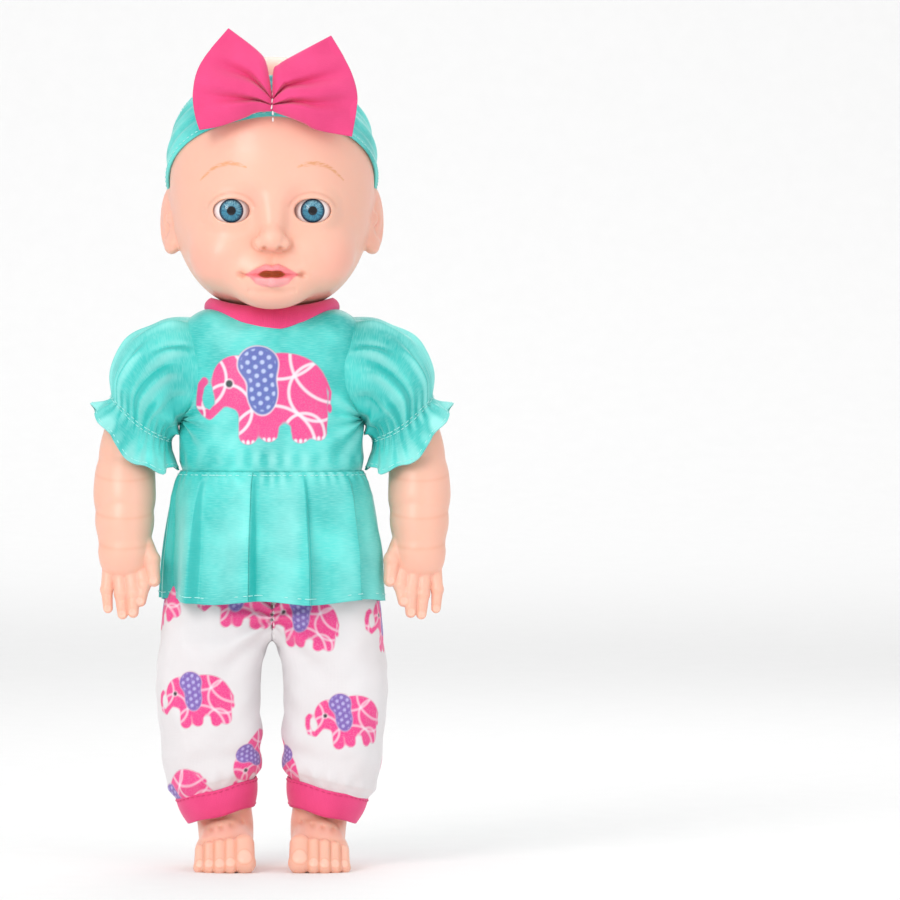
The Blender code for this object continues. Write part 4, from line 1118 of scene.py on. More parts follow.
# Peplum folds: place round the waist (0 front, 0.25 the doll's left side), width, depth.
PLEATS = (
    (-0.213, 0.03, 0.0019),
    (-0.128, 0.034, 0.0026),
    (-0.034, 0.034, 0.0028),
    (0.052, 0.036, 0.0027),
    (0.14, 0.03, 0.0018),
    (0.205, 0.032, 0.0022),
    (0.3, 0.036, 0.0026),
    (0.385, 0.034, 0.0024),
    (0.462, 0.034, 0.0024),
    (-0.44, 0.034, 0.0026),
    (-0.365, 0.034, 0.0024),
    (-0.29, 0.034, 0.0024),
)
PEPLUM_RISE = 0.0556
FOLD_DEPTH = 2.1
SPLIT = -0.034


def peplum_points(share, rows):
    """Points of the peplum at those places round the waist, from the waist seam to the hem."""
    points = np.zeros((rows, len(share), 3))
    t = np.linspace(0, 1, rows)
    around = np.linspace(-0.5, 0.5, 721)
    wrapped = (share + 0.5) % 1 - 0.5
    for r in range(rows):
        flare = np.interp(t[r], (0, 0.05, 0.2, 0.55, 1), (0.0, 0.0014, 0.0034, 0.0052, 0.0072))
        flat, _ = section(0.0396 + flare, 0.0338 + flare * 0.95, 720)
        for i in range(2):
            points[r, :, i] = np.interp(wrapped, around, np.append(flat[:, i], flat[0, i]))
        points[r, :, 2] = WAIST_Z + 0.0004 - PEPLUM_RISE * t[r]
    outward = unit(points / (0.04, 0.034, 1.0) * (1, 1, 0))
    depth = np.zeros(points.shape[:2])
    for place, width, size in PLEATS:
        gap = (share - place + 0.5) % 1 - 0.5
        # A sharp fall on one side of each fold, and a long easy slope on the other.
        shape = np.where(gap < 0, bell(gap, width), bell(gap, 0.17 * width))
        grow = smoothstep(-0.05, 0.75, t)[:, None] * 0.72 + 0.28 * smoothstep(0.0, 0.1, t)[:, None]
        depth += FOLD_DEPTH * size * shape[None] * grow
    wave = np.sin(2 * math.pi * (share * 7 + 0.12 * np.sin(2 * math.pi * share * 3)))[None]
    depth += 0.0012 * wave * smoothstep(0.25, 1.0, t)[:, None]
    depth += 0.0003 * np.sin(share * TURN * 46 + 1.2 * np.sin(share * 60))[None] * bell(t, 0.08)[:, None]
    depth += 0.0003 * rumple(points, 21, 0.026)
    # Painted light and shade on the pleats, from how they face the light, with some random variation.
    fold_shading = 0.9 * light_on(depth, points, closed=False) + 0.25 * rumple(points, 22, 0.05)
    points += outward * (depth - 0.0016 * t[:, None])[..., None]
    points[..., 2] += 0.0009 * np.cos(2 * math.pi * (share * 6 + 0.1))[None] * smoothstep(0.4, 1, t)[:, None]
    points[..., 2] -= 0.0012 * smoothstep(0.6, 1, t)[:, None] * np.cos(2 * math.pi * share)[None]
    return points, fold_shading


def make_peplum():
    rows, count = ((105, 380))
    hem_row = rows - 1 - max(int(rows * 0.003 / PEPLUM_RISE), 2)
    for side_name, start, end in (("left", SPLIT - 0.02, 0.5), ("right", -0.5, SPLIT)):
        share = np.linspace(start, end, count)
        points, fold_shading = peplum_points(share, rows)
        if side_name == "left":
            # The left half's front edge lies under the right half's fold.
            points[..., :2] *= 1 - 0.03 * smoothstep(SPLIT + 0.012, SPLIT - 0.004, share)[None, :, None]
        name = f"peplum_{side_name}"
        made, normals = cloth(name, points, aqua, 0.0008, (0, 0, 0.15), closed=False, fold_shading=fold_shading)
        attach(made, "torso", "aqua_satin", f"top_peplum_{side_name}")
        sewn = []
        for row, word in ((3, "waist"), (hem_row, "hem")):
            thread = stitches(f"peplum_{word}_{side_name}", points[row], normals[row], aqua_thread)
            sewn.append(attach(thread, "torso", "aqua_satin"))
        for piece in (made, *sewn):
            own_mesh(piece)


# Sleeve rings: place along it; centre, half width and half depth in millimetres; tilt in degrees.
SLEEVE = np.array((
    (0, 36.2, 0, 219, 22.2, 22.4, 90), (0.9, 39.4, 0, 219, 23.4, 23.2, 89),
    (2, 43.2, -0.2, 218.2, 23.8, 23.4, 84), (3, 47.8, -0.6, 215, 24, 24, 72),
    (4, 52.4, -1, 209.8, 22.9, 23.8, 57), (5, 55.6, -1.4, 204.8, 19.8, 21.8, 44),
    (6, 56.8, -1.6, 199.8, 16.3, 17.6, 37), (6.6, 57.2, -1.6, 197.8, 15.8, 16.8, 36),
    (7.4, 58.2, -1.8, 195.2, 18, 18.6, 36), (9, 60, -2.2, 190, 23.2, 23.2, 35),
)) * (1, MM, MM, MM, MM, MM, 1)

SLEEVE_SOFTNESS = 19
# Sleeve folds: place round the sleeve in radians (-1.57 front), width, depth, start and end along it.
SLEEVE_FOLDS = (
    (-0.45, 0.11, 0.0018, 0.7, 4.2),
    (-0.1, 0.08, 0.0016, 2.6, 6.6),
    (0.45, 0.1, 0.0018, 0.8, 6.0),
    (-0.82, 0.09, 0.002, 3.0, 6.8),
    (-1.14, 0.08, 0.0018, 0.7, 3.7),
    (-1.52, 0.11, 0.0024, 1.4, 6.7),
    (-1.9, 0.08, 0.0018, 3.3, 6.8),
    (-2.28, 0.14, 0.0024, 0.7, 5.0),
    (-2.75, 0.11, 0.0018, 3.0, 6.8),
    (1.05, 0.1, 0.0018, 3.0, 6.8),
    (1.55, 0.15, 0.002, 0.8, 5.2),
    (2.1, 0.12, 0.0018, 2.6, 6.8),
    (2.75, 0.18, 0.0014, 0.8, 6.0),
)


def sleeve_points(columns, rows):
    keys = spline(SLEEVE[:, 1:], 400)
    place = spline(SLEEVE[:, :1], 400)[:, 0]
    want = np.linspace(0, 9.0, rows)
    keys = np.stack([np.interp(want, place, keys[:, i]) for i in range(6)], 1)
    soft = np.hanning(SLEEVE_SOFTNESS)
    ends = np.pad(keys, ((SLEEVE_SOFTNESS // 2, SLEEVE_SOFTNESS // 2), (0, 0)), "edge")
    keys = np.stack([np.convolve(ends[:, i], soft / soft.sum(), "valid") for i in range(6)], 1)
    turn = np.linspace(0, 2 * math.pi, columns, endpoint=False)
    tilt = np.radians(keys[:, 5])
    across = np.stack([np.cos(tilt), np.zeros(rows), np.sin(tilt)], 1)[:, None] * np.cos(turn)[None, :, None]
    ahead = np.sin(turn)[None, :, None] * np.array((0, 1.0, 0))
    out = keys[:, None, :3] + keys[:, 3, None, None] * across + keys[:, 4, None, None] * ahead
    radial = across + ahead
    at = want[:, None]
    ripple = np.cos(26 * turn[None] + 1.3 * np.sin(3 * turn + 1)[None])
    gather = bell(at - 6.3, 1.1)
    depth = 0.00055 * ripple * gather
    depth += 0.0011 * np.cos(9 * turn[None] + 1.1 * np.sin(2 * turn)[None]) * smoothstep(6.9, 9.0, at)
    depth += 0.00045 * np.cos(19 * turn[None] + 0.7) * smoothstep(6.9, 8.2, at)
    # Long folds that run from the armhole seam to the gathers.
    for centre, width, size, start, end in SLEEVE_FOLDS:
        drift = centre + 0.1 * (at - 3) / 3
        gap = (turn[None] - drift + math.pi) % (2 * math.pi) - math.pi
        shape = bell(gap, width) - 0.7 * bell(gap - 1.7 * width, 0.8 * width)
        depth += size * shape * smoothstep(start, start + 1.3, at) * smoothstep(end, end - 1.9, at)
    depth += 0.0009 * rumple(out, 31, 0.022) * smoothstep(0.8, 2.5, at)
    # Painted light and shade on the folds, from how they face the light, with some random variation; the ruffle
    # is painted lighter, a painted highlight.
    fold_shading = 1.0 * light_on(depth, out, True) + 0.25 * rumple(out, 32, 0.04)
    fold_shading += 0.55 * smoothstep(6.9, 8.6, at)
    # The base follows the side of the body, which curves away to the front, the back and the top.
    away = (out - keys[:, None, :3]) / 0.0224
    inset = 0.0074 * away[..., 1] ** 2 + 0.0045 * np.clip(away[..., 2], 0, 2) ** 4
    out = out - np.array((1.0, 0, 0)) * (inset * smoothstep(2.4, 0.3, at))[..., None]
    out = out + radial * depth[..., None]
    droop = smoothstep(5.0, 9.0, at) * np.sin(turn)[None] ** 2
    out[..., 2] -= 0.0105 * droop
    out[..., 2] += 0.001 * np.cos(7 * turn + 0.6)[None] * smoothstep(7.4, 9.0, at)
    return out, want, fold_shading


def both_sides(*pieces):
    """Each side's name and pieces: the left ones as they are, then their mirror copies."""
    yield "left", pieces
    yield "right", [mirror_object(piece, piece.name.replace("left", "right")) for piece in pieces]


def make_sleeves():
    columns, rows = ((250, 150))
    points, want, fold_shading = sleeve_points(columns, rows)
    made, normals = cloth("sleeve_skin_left", points, aqua, 0.0008, (0.055, 0, 0.212), fold_shading=fold_shading)
    sewn = []
    for place, word, lift in ((6.35, "gather", 0.0002), (6.6, "gather_low", 0.0002), (8.62, "hem", 0.0)):
        row = int(np.argmin(np.abs(want - place)))
        name = f"sleeve_{word}_left"
        sewn.append(stitches(name, points[row], normals[row], aqua_thread, closed=True, lift=lift))
    for side_name, (skin, *threads) in both_sides(made, *sewn):
        attach(skin, f"arm_{side_name}", "aqua_satin", f"sleeve_{side_name}", f"sleeve_ruffle_{side_name}")
        for thread in threads:
            attach(thread, f"arm_{side_name}", "aqua_satin")
        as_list(threads)


# Trouser sections: height, inner x, outer x, half depth, centre y, power.
TROUSERS = np.array((
    (0.0335, 0.009, 0.0404, 0.016, 0.0005, 2.1), (0.0365, 0.0078, 0.0418, 0.017, 0.0005, 2.1),
    (0.0395, 0.0056, 0.0442, 0.019, 0.0004, 2.1), (0.043, 0.0044, 0.0464, 0.0206, 0.0002, 2.2),
    (0.056, 0.0042, 0.0492, 0.0224, 0, 2.3), (0.072, 0.005, 0.0506, 0.0236, 0, 2.4),
    (0.088, 0.0048, 0.0502, 0.0244, 0, 2.5), (0.095, 0.0028, 0.0498, 0.025, 0, 2.6),
    (0.1005, 0.0004, 0.0493, 0.0254, 0, 2.6), (0.106, -0.009, 0.0488, 0.0258, 0, 2.6),
    (0.118, -0.026, 0.0472, 0.0272, 0, 2.6), (0.13, -0.04, 0.0432, 0.0296, 0, 2.55),
    (0.145, -0.0408, 0.0408, 0.0326, 0, 2.5), (0.16, -0.04, 0.04, 0.0334, 0, 2.5),
    (0.1672, -0.0394, 0.0394, 0.033, 0, 2.5),
))
CROTCH_Z = 0.1
# Printed animals on the trousers: x, z and width in millimetres, lean in radians.
PRINTS = {
    "right": ((-33.5, 76.5, 33, 0.05), (-15, 119.5, 32, -0.1), (-59, 119, 33, 0.3), (-44, 34, 33, 0.7),
        (-3, 48, 33, 0.9), (-80, 80, 33, -0.2), (-105, 108, 33, 0.1), (-105, 52, 33, 0.2)),
    "left": ((32, 67.5, 32, 0.1), (13, 110.5, 32, -0.15), (-3, 44, 33, -0.9), (60, 108, 33, -0.2),
        (76, 56, 33, 0.4), (90, 100, 33, 0), (106, 60, 33, -0.3)),
}


def make_trousers():
    columns, rows = ((460, 270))
    keys = spline(TROUSERS, 500)
    levels = np.linspace(keys[0, 0], keys[-1, 0], rows)
    keys = np.stack([np.interp(levels, keys[:, 0], keys[:, i]) for i in range(6)], 1)
    points = np.zeros((rows, columns, 3))
    arc = np.zeros((rows, columns))
    for r, (z, inner, outer, deep, mid_y, power) in enumerate(keys):
        half = (outer - inner) / 2
        flat, along = section(half, deep, columns, power)
        points[r, :, :2] = flat + ((inner + outer) / 2, mid_y)
        points[r, :, 2] = z
        arc[r] = along + (inner + outer) / 2
    base = points.copy()
    share = np.linspace(-0.5, 0.5, columns, endpoint=False)[None]
    z = levels[:, None]
    outward = points - np.stack([(keys[:, 1] + keys[:, 2]) / 2, keys[:, 4], levels], 1)[:, None]
    outward = unit(outward * (1, 1, 0))
    cuff = smoothstep(0.047, 0.04, z) * smoothstep(0.0365, 0.04, z)
    depth = 0.00045 * np.cos(TURN * 15 * share + 1.5 * np.sin(18 * share)) * cuff
    loose = smoothstep(0.039, 0.05, z) * smoothstep(0.168, 0.15, z)
    depth += (0.0008 * rumple(base * (1, 1, 0.8), 41, 0.03) + 0.0004 * rumple(base, 42, 0.014)) * loose
    # Creases that fan from the crotch, and slack over the knee and ankle.
    front = np.clip(-base[..., 1] / 0.02, 0, 1)
    away = np.hypot(base[..., 0], z - CROTCH_Z)
    fan = np.arctan2(z - CROTCH_Z - 0.012, base[..., 0] + 0.004)
    depth += 0.0011 * np.sin(11 * fan + 0.8) * bell(away - 0.016, 0.013) * front
    slack = np.sin((z + 0.16 * base[..., 0]) * TURN / 0.019 + 3 * share)
    depth += 0.0006 * slack * bell(z - 0.052, 0.013)
    points += outward * depth[..., None]
    points[..., 2] -= 0.26 * (base[..., 0] - 0.024) * smoothstep(0.064, 0.036, z)
    points[..., 0] = np.where(z > CROTCH_Z - 0.0015, np.maximum(points[..., 0], 0.0), points[..., 0])
    keep = ~((base[..., 0] < 0.0) & (z > CROTCH_Z))
    # Close the inner leg on the middle plane at the crotch.
    grown = keep.copy()
    for axis in (0, 1):
        for step in (-1, 1):
            grown |= np.roll(keep, step, axis) & (z > CROTCH_Z)
    keep = grown
    points[..., 0] = np.where(base[..., 0] < 0, np.minimum(points[..., 0], 0.0), points[..., 0])
    jersey_printed = jersey_material("jersey_printed", printed=True)
    height = np.broadcast_to(z, arc.shape)
    for side_name, side in SIDES:
        uv = np.stack([arc * side, height], -1)
        ink = np.zeros((rows, columns, 4))
        for x, up, width, lean in np.array(PRINTS[side_name]) * (MM, MM, MM, 1):
            elephant(ink, arc * side, height, (x, up), width, (0.2, 0.11, 0.45), (0.5, 0.44, 0.8), turn=lean)
        made, _ = cloth(
            f"trousers_{side_name}", points * (side, 1, 1), jersey_printed, 0.0008, (side * 0.026, 0, 0.09),
            uv=uv, keep=keep, ink=ink,
        )
        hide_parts(f"pants_leg_{side_name}", *(("pants_seat",) if side == 1 else ()))
        lean = math.radians(56)
        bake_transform(made)
    # The centre seam, front and back.
    heights = np.linspace(CROTCH_Z + 0.003, 0.16, 60)
    deep = np.interp(heights, TROUSERS[:, 0], TROUSERS[:, 3]) + 0.0002
    for word, sign in (("front", -1.0), ("back", 1.0)):
        line = np.stack([np.full(60, 0.0008), sign * deep, heights], 1)
        seam = stitches(f"trouser_seam_{word}", line, np.tile((0.0, sign, 0.0), (60, 1)), white_thread)
        attach(seam, "torso", "white_cloth")


def make_waistband():
    rows, columns = 14, 300
    points = np.zeros((rows, columns, 3))
    turn = np.arange(columns) / columns * TURN
    for r in range(rows):
        bulge = math.sin(math.pi * r / (rows - 1))
        z = 0.1662 + 0.0076 * r / (rows - 1)
        grow = 0.0006 + 0.0003 * bulge
        half_x, half_y = (np.interp(z, PROFILE[:, 0], PROFILE[:, i]) + grow for i in (1, 2))
        ruck = 1 + 0.003 * np.sin(48 * turn + 0.8 * np.sin(5 * turn)) * bulge
        points[r, :, :2] = section(half_x, half_y, columns)[0] * ruck[:, None]
        points[r, :, 2] = z
    made, _ = cloth("waistband", points, jersey_material("jersey_white"), 0.0008, (0, 0, 0.17))
    attach(made, "torso", "white_cloth", "pants_waistband")


def make_cuffs():
    """Knit cuffs, lower on the outer side, turned in at their lower edge."""
    rows, columns = 30, 240
    turn = np.linspace(0, 2 * math.pi, columns, endpoint=False)
    points = np.zeros((rows, columns, 3))
    for r in range(rows):
        t = min(r / (rows - 8), 1)
        inside = max(r - rows + 8, 0) / 7
        bulge, turned_in = math.sin(math.pi * t), 0.0012 * math.sin(math.pi * inside / 2)
        x = (0.0178 - 0.003 * t + 0.0007 * bulge - turned_in) * np.cos(turn)
        points[r, :, 0] = 0.0244 - 0.0022 * t + x
        points[r, :, 1] = (0.018 - 0.002 * t + 0.0006 * bulge - turned_in) * np.sin(turn) + 0.0006
        points[r, :, 2] = 0.0368 - 0.0116 * t + 0.004 * inside - 0.26 * x
    points[..., 2] += 0.0003 * np.sin(5 * turn)[None]
    made, normals = cloth("cuff_knit_left", points, pink_knit, 0.0009, (0.024, 0, 0.03))
    pink_thread = thread_material("thread_pink", rgba(0.72, 0.04, 0.18))
    sewn = stitches("cuff_stitch_left", points[2], normals[2], pink_thread, closed=True)
    for side_name, (skin, thread) in both_sides(made, sewn):
        attach(skin, f"leg_{side_name}", "pink_cloth", f"pants_cuff_{side_name}")
        attach(thread, f"leg_{side_name}", "pink_cloth")


BAND_TILT = math.radians(30.5)
BAND_MID = np.array((0, 0.003, 0.3155))
BAND_WIDTH = 0.026


def make_headband():
    columns, rows = ((420, 52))
    turn = np.linspace(0, 2 * math.pi, columns, endpoint=False)
    across = np.array((0, math.sin(BAND_TILT), math.cos(BAND_TILT)))
    forward = np.array((0, -math.cos(BAND_TILT), math.sin(BAND_TILT)))
    in_plane = np.sin(turn)[:, None] * np.array((1.0, 0, 0)) + np.cos(turn)[:, None] * forward
    widths = np.linspace(-0.5, 0.5, rows) * BAND_WIDTH
    points = np.array([on_head(in_plane, BAND_MID + across * w) for w in widths])
    pinch = bell((turn + math.pi) % (2 * math.pi) - math.pi, 0.28)
    rise = np.linspace(-0.5, 0.5, rows)[:, None]
    lift = 0.0014 + 0.00045 * np.cos(TURN * (2.5 * rise + 0.12 * np.sin(2 * turn)[None]))
    lift += 0.00028 * np.sin(TURN * 5 * rise + 3 * np.sin(1.5 * turn)[None] + 1)
    lift -= 0.0006 * (2 * np.abs(rise)) ** 6
    points = points + (points[rows // 2][None] - points) * (0.1 * pinch)[None, :, None]
    points += in_plane[None] * lift[..., None]
    # The band's raised parts get painted highlight and its low parts painted shade.
    made, normals = cloth("headband_satin", points, aqua, 0.0009, BAND_MID, fold_shading=300 * (lift - lift.mean()))
    attach(made, "head", "aqua_satin", "headband")
    for word, row in (("low", 3), ("high", rows - 4)):
        thread = stitches(f"headband_stitch_{word}", points[row], normals[row], aqua_thread, closed=True)
        attach(thread, "head", "aqua_satin")


# Bow outlines, x and z in millimetres from the knot: the upper edge to the tip, then the outer and lower ones.
KNOT = np.array((0.0, -0.0472, 0.334))
BOW_SCALE = 0.985
BOW_LEAN = 0.22
BOW_EDGE = {
    "right": ((0, 4.2), (-1, 10.5), (-2.9, 19), (-7.4, 24.3), (-19, 33.2), (-28.6, 21.7), (-33.1, 13.4),
        (-34.6, 3.8), (-33.6, -5.2), (-31.7, -11.6), (-22.8, -10), (-12.5, -6.5), (-6.7, -4), (0, -3.4)),
    "left": ((0, 4.2), (0.6, 14.7), (2.9, 17.2), (8, 20.4), (25.8, 30), (31.8, 19.8), (35.6, 11.4),
        (37.3, 3.8), (36.9, -2.6), (36, -8.4), (34.9, -14.5), (19.6, -11.6), (13.2, -8.4), (0, -3.4)),
}
BOW_CORNERS = {"right": (4, 9), "left": (4, 10)}
BOW_FOLDS = {"right": (0.32, 0.66), "left": (0.36, 0.64)}


def bow_wing(name, rows, columns):
    """A wing's points, from the knot out, and round its open edge from the upper to the lower side."""
    edge = BOW_SCALE * MM * np.array(BOW_EDGE[name])
    a, b = BOW_CORNERS[name]
    upper, outer, lower = (spline(part, 60) for part in (edge[: a + 1], edge[a : b + 1], edge[b:]))
    t = np.linspace(0, 1, rows)[:, None]
    s = np.linspace(0, 1, columns)[None]
    top, bottom, rim = resample(upper, rows), resample(lower[::-1], rows), resample(outer, columns)
    flat = np.zeros((rows, columns, 2))
    for i in range(2):
        ruled = top[:, i, None] * (1 - s) + bottom[:, i, None] * s
        corners = rim[0, i] * (1 - s) + rim[-1, i] * s
        flat[..., i] = ruled + (rim[None, :, i] - corners) * t
    depth = 0.0074 * np.sin(math.pi * t**0.75) ** 0.8 * np.sin(math.pi * s) ** 0.45
    for place in BOW_FOLDS[name]:
        gap = s - place - 0.03 * np.sin(3 * t)
        width = 0.02 + 0.07 * t
        depth -= (0.0066 * (1 - t) ** 0.7 * smoothstep(0.0, 0.06, t)) * bell(gap, width)
    depth += 0.0011 * np.sin(9 * s + 4 * t) * t + 0.0004 * np.sin(21 * s - 5 * t) * t
    return flat, depth


def make_bow():
    rows, columns = ((110, 110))
    for name in ("left", "right"):
        flat, depth = bow_wing(name, rows, columns)
        # Front and back meet along the sewn edges, as one loop of cloth.
        layers = []
        for face, share in ((-1, 1.0), (1, 0.45)):
            y = face * (0.0009 + np.maximum(depth, 0.0) * share)
            y += BOW_LEAN * flat[..., 1] + 0.1 * np.abs(flat[..., 0])
            layers.append(KNOT + np.stack([flat[..., 0], y, flat[..., 1]], -1))
        ring = np.concatenate([layers[0], layers[1][:, ::-1]], 1)
        made, _ = cloth(f"bow_wing_{name}", ring, pink, 0.0006, ring.reshape(-1, 3).mean(0))
        attach(made, "head", "pink_cloth", *(("bow",) if name == "left" else ()))
    path = [(0.0002, -0.0012, 0.0048)]
    for i in range(7):
        z = 0.004 - 0.0012 * i
        path.append((0.0003 * (-1) ** i, BOW_LEAN * z - 0.0016, z))
    path.append((0.0004, 0.0006, -0.0078))
    path = KNOT + spline(path, 60)
    thread = stitches("bow_thread", path, np.tile((0, -1.0, 0.2), (60, 1)), white_thread, 0.0021, 0.00042)
    attach(thread, "head", "pink_cloth")


# ---------------------------------------------------------------- limbs
# The arm's middle line, from the shoulder to the wrist: x, y, z and radius in millimetres.
ARM_LINE = MM * np.array((
    (40, 0, 221.5, 10.5), (47, 0, 220.5, 11.8), (52.5, 0, 213, 12.4), (57.5, -1, 198, 13),
    (61.8, -3.5, 185, 12.9), (63.6, -5.8, 176, 11.9), (64, -6.6, 173.5, 12.6), (64.2, -8.5, 166.5, 13.1),
    (64.1, -9.8, 161.5, 12.7), (64.1, -10.6, 158, 11.1), (64.1, -11.2, 156, 12.2),
    (64.1, -12.2, 151.5, 12.1), (64, -13.2, 147.5, 10.5), (64, -13.7, 145, 9.2), (64, -14.3, 140.5, 10.2),
))
# Fingers and thumb, from the root to the tip: x, y, z and radius in millimetres at three points.
HAND = MM * np.array((
    ((57.2, -16.5, 133.5, 3.4), (55.8, -19.9, 125.8, 2.9), (57, -21.6, 119, 2.4)),
    ((61.8, -17, 132.5, 3.4), (60.2, -20.7, 122.5, 2.9), (60.2, -22.6, 114.2, 2.4)),
    ((66.4, -16.4, 132.5, 3.3), (65.6, -19.6, 122.2, 2.8), (64.8, -21.2, 113.4, 2.3)),
    ((70.8, -15, 133.5, 3), (71.8, -17.6, 124, 2.6), (71.2, -19, 115.8, 2.1)),
    ((56.2, -15, 145, 4.2), (52.2, -18.5, 137, 3.5), (51.2, -20.4, 128, 2.8)),
))
NAIL_FACING = np.array((0.15, -1.0, 0.1))
def make_arms():
    step = 0.00046
    f = Field((0.0365, -0.029, 0.1085), (0.079, 0.015, 0.234), step)
    line = spline(ARM_LINE, 46)
    for a, b in zip(line, line[1:]):
        f.add_cone(a[:3], b[:3], a[3], b[3], 0.0012)
    f.add_ellipsoid((0.064, -0.0152, 0.14), (0.0108, 0.008, 0.011), 0.004)
    f.add_ellipsoid((0.064, -0.0156, 0.1352), (0.0098, 0.0064, 0.0058), 0.0024)
    nails = []
    for finger in HAND:
        for start, end in zip(finger, finger[1:]):
            f.add_cone(start[:3], end[:3], start[3], end[3], 0.0005)
        f.add_ellipsoid(finger[1, :3], (finger[1, 3] * 1.07,) * 3, 0.0008)
    for finger in HAND:
        before, tip = finger[1:, :3]
        along = unit(tip - before)
        face = unit(NAIL_FACING - along * (NAIL_FACING @ along))
        spot = tip + along * 0.0004 + face * finger[2, 3]
        f.add_ellipsoid(spot + face * 0.0002, (0.0017, 0.0009, 0.0021), 0.0003, cut=True)
        nails.append(spot)
        knuckle = before + (tip - before) * 0.35 + face * (finger[1, 3] + 0.0004)
        f.add_ellipsoid(knuckle, (0.0032, 0.0006, 0.0003), 0.0006, cut=True)
    arm, points = field_object("arm_skin_left", f, vinyl_limb)
    _, y, z = points.T
    # Painted shade in the forearm creases and round the nails, and a redder tint over the hand.
    crease = 0.16 * smoothstep(0.128, 0.112, z)
    for height, width in ((0.174, 0.0007), (0.1585, 0.0008), (0.1455, 0.0009)):
        tilt = 0.25 * (y + 0.01)
        crease = np.maximum(crease, 0.26 * bell(z - height - tilt, width))
    nail = np.zeros(len(points))
    for spot in nails:
        away = np.linalg.norm(points - spot, axis=1)
        nail = np.maximum(nail, 0.5 * smoothstep(0.002, 0.0014, away))
        edge = 0.25 * bell(away - 0.0021, 0.0004)
        crease = np.maximum(crease, edge * ((z < 0.129) & (z > 0.108)))
    paint_attribute(arm, "crease", crease)
    paint_attribute(arm, "nail", nail)
    for side_name, (piece,) in both_sides(arm):
        attach(piece, f"arm_{side_name}", "vinyl_skin", f"arm_{side_name}")


# The leg's middle line, from the hip to the heel: x, y, z and radius in millimetres.
LEG_LINE = MM * np.array((
    (28.4, 0, 124, 10.5), (28.4, 0, 118, 13), (28.4, 0, 106, 15), (28.4, -1, 88, 17.4),
    (28, -1.5, 72, 18.6), (26.2, -1, 56, 17), (24, 0.5, 40, 14.6), (21.2, 2.6, 27, 11.8),
    (20.2, 2.6, 18, 11.2),
))
# Toes, the big one first: x, y, z and radius in millimetres at the root and at the tip.
TOES = MM * np.array((
    ((12.2, -28, 14, 4.6), (11.9, -33, 6.2, 4.6)),
    ((18.2, -29, 14.2, 2.8), (18, -34.5, 4.8, 3)),
    ((22.8, -28.5, 13.6, 2.8), (22.7, -33.8, 4.4, 3)),
    ((27.2, -27, 12.6, 2.7), (27.3, -31.8, 4.2, 2.8)),
    ((30.9, -24.5, 11.2, 2.5), (31.3, -29, 4, 2.6)),
))
# Dimples over the toes: x and z in millimetres.
DIMPLES = MM * np.array(((12.8, 22.2), (17.6, 21.4), (22.2, 20.6), (26.4, 19.6)))


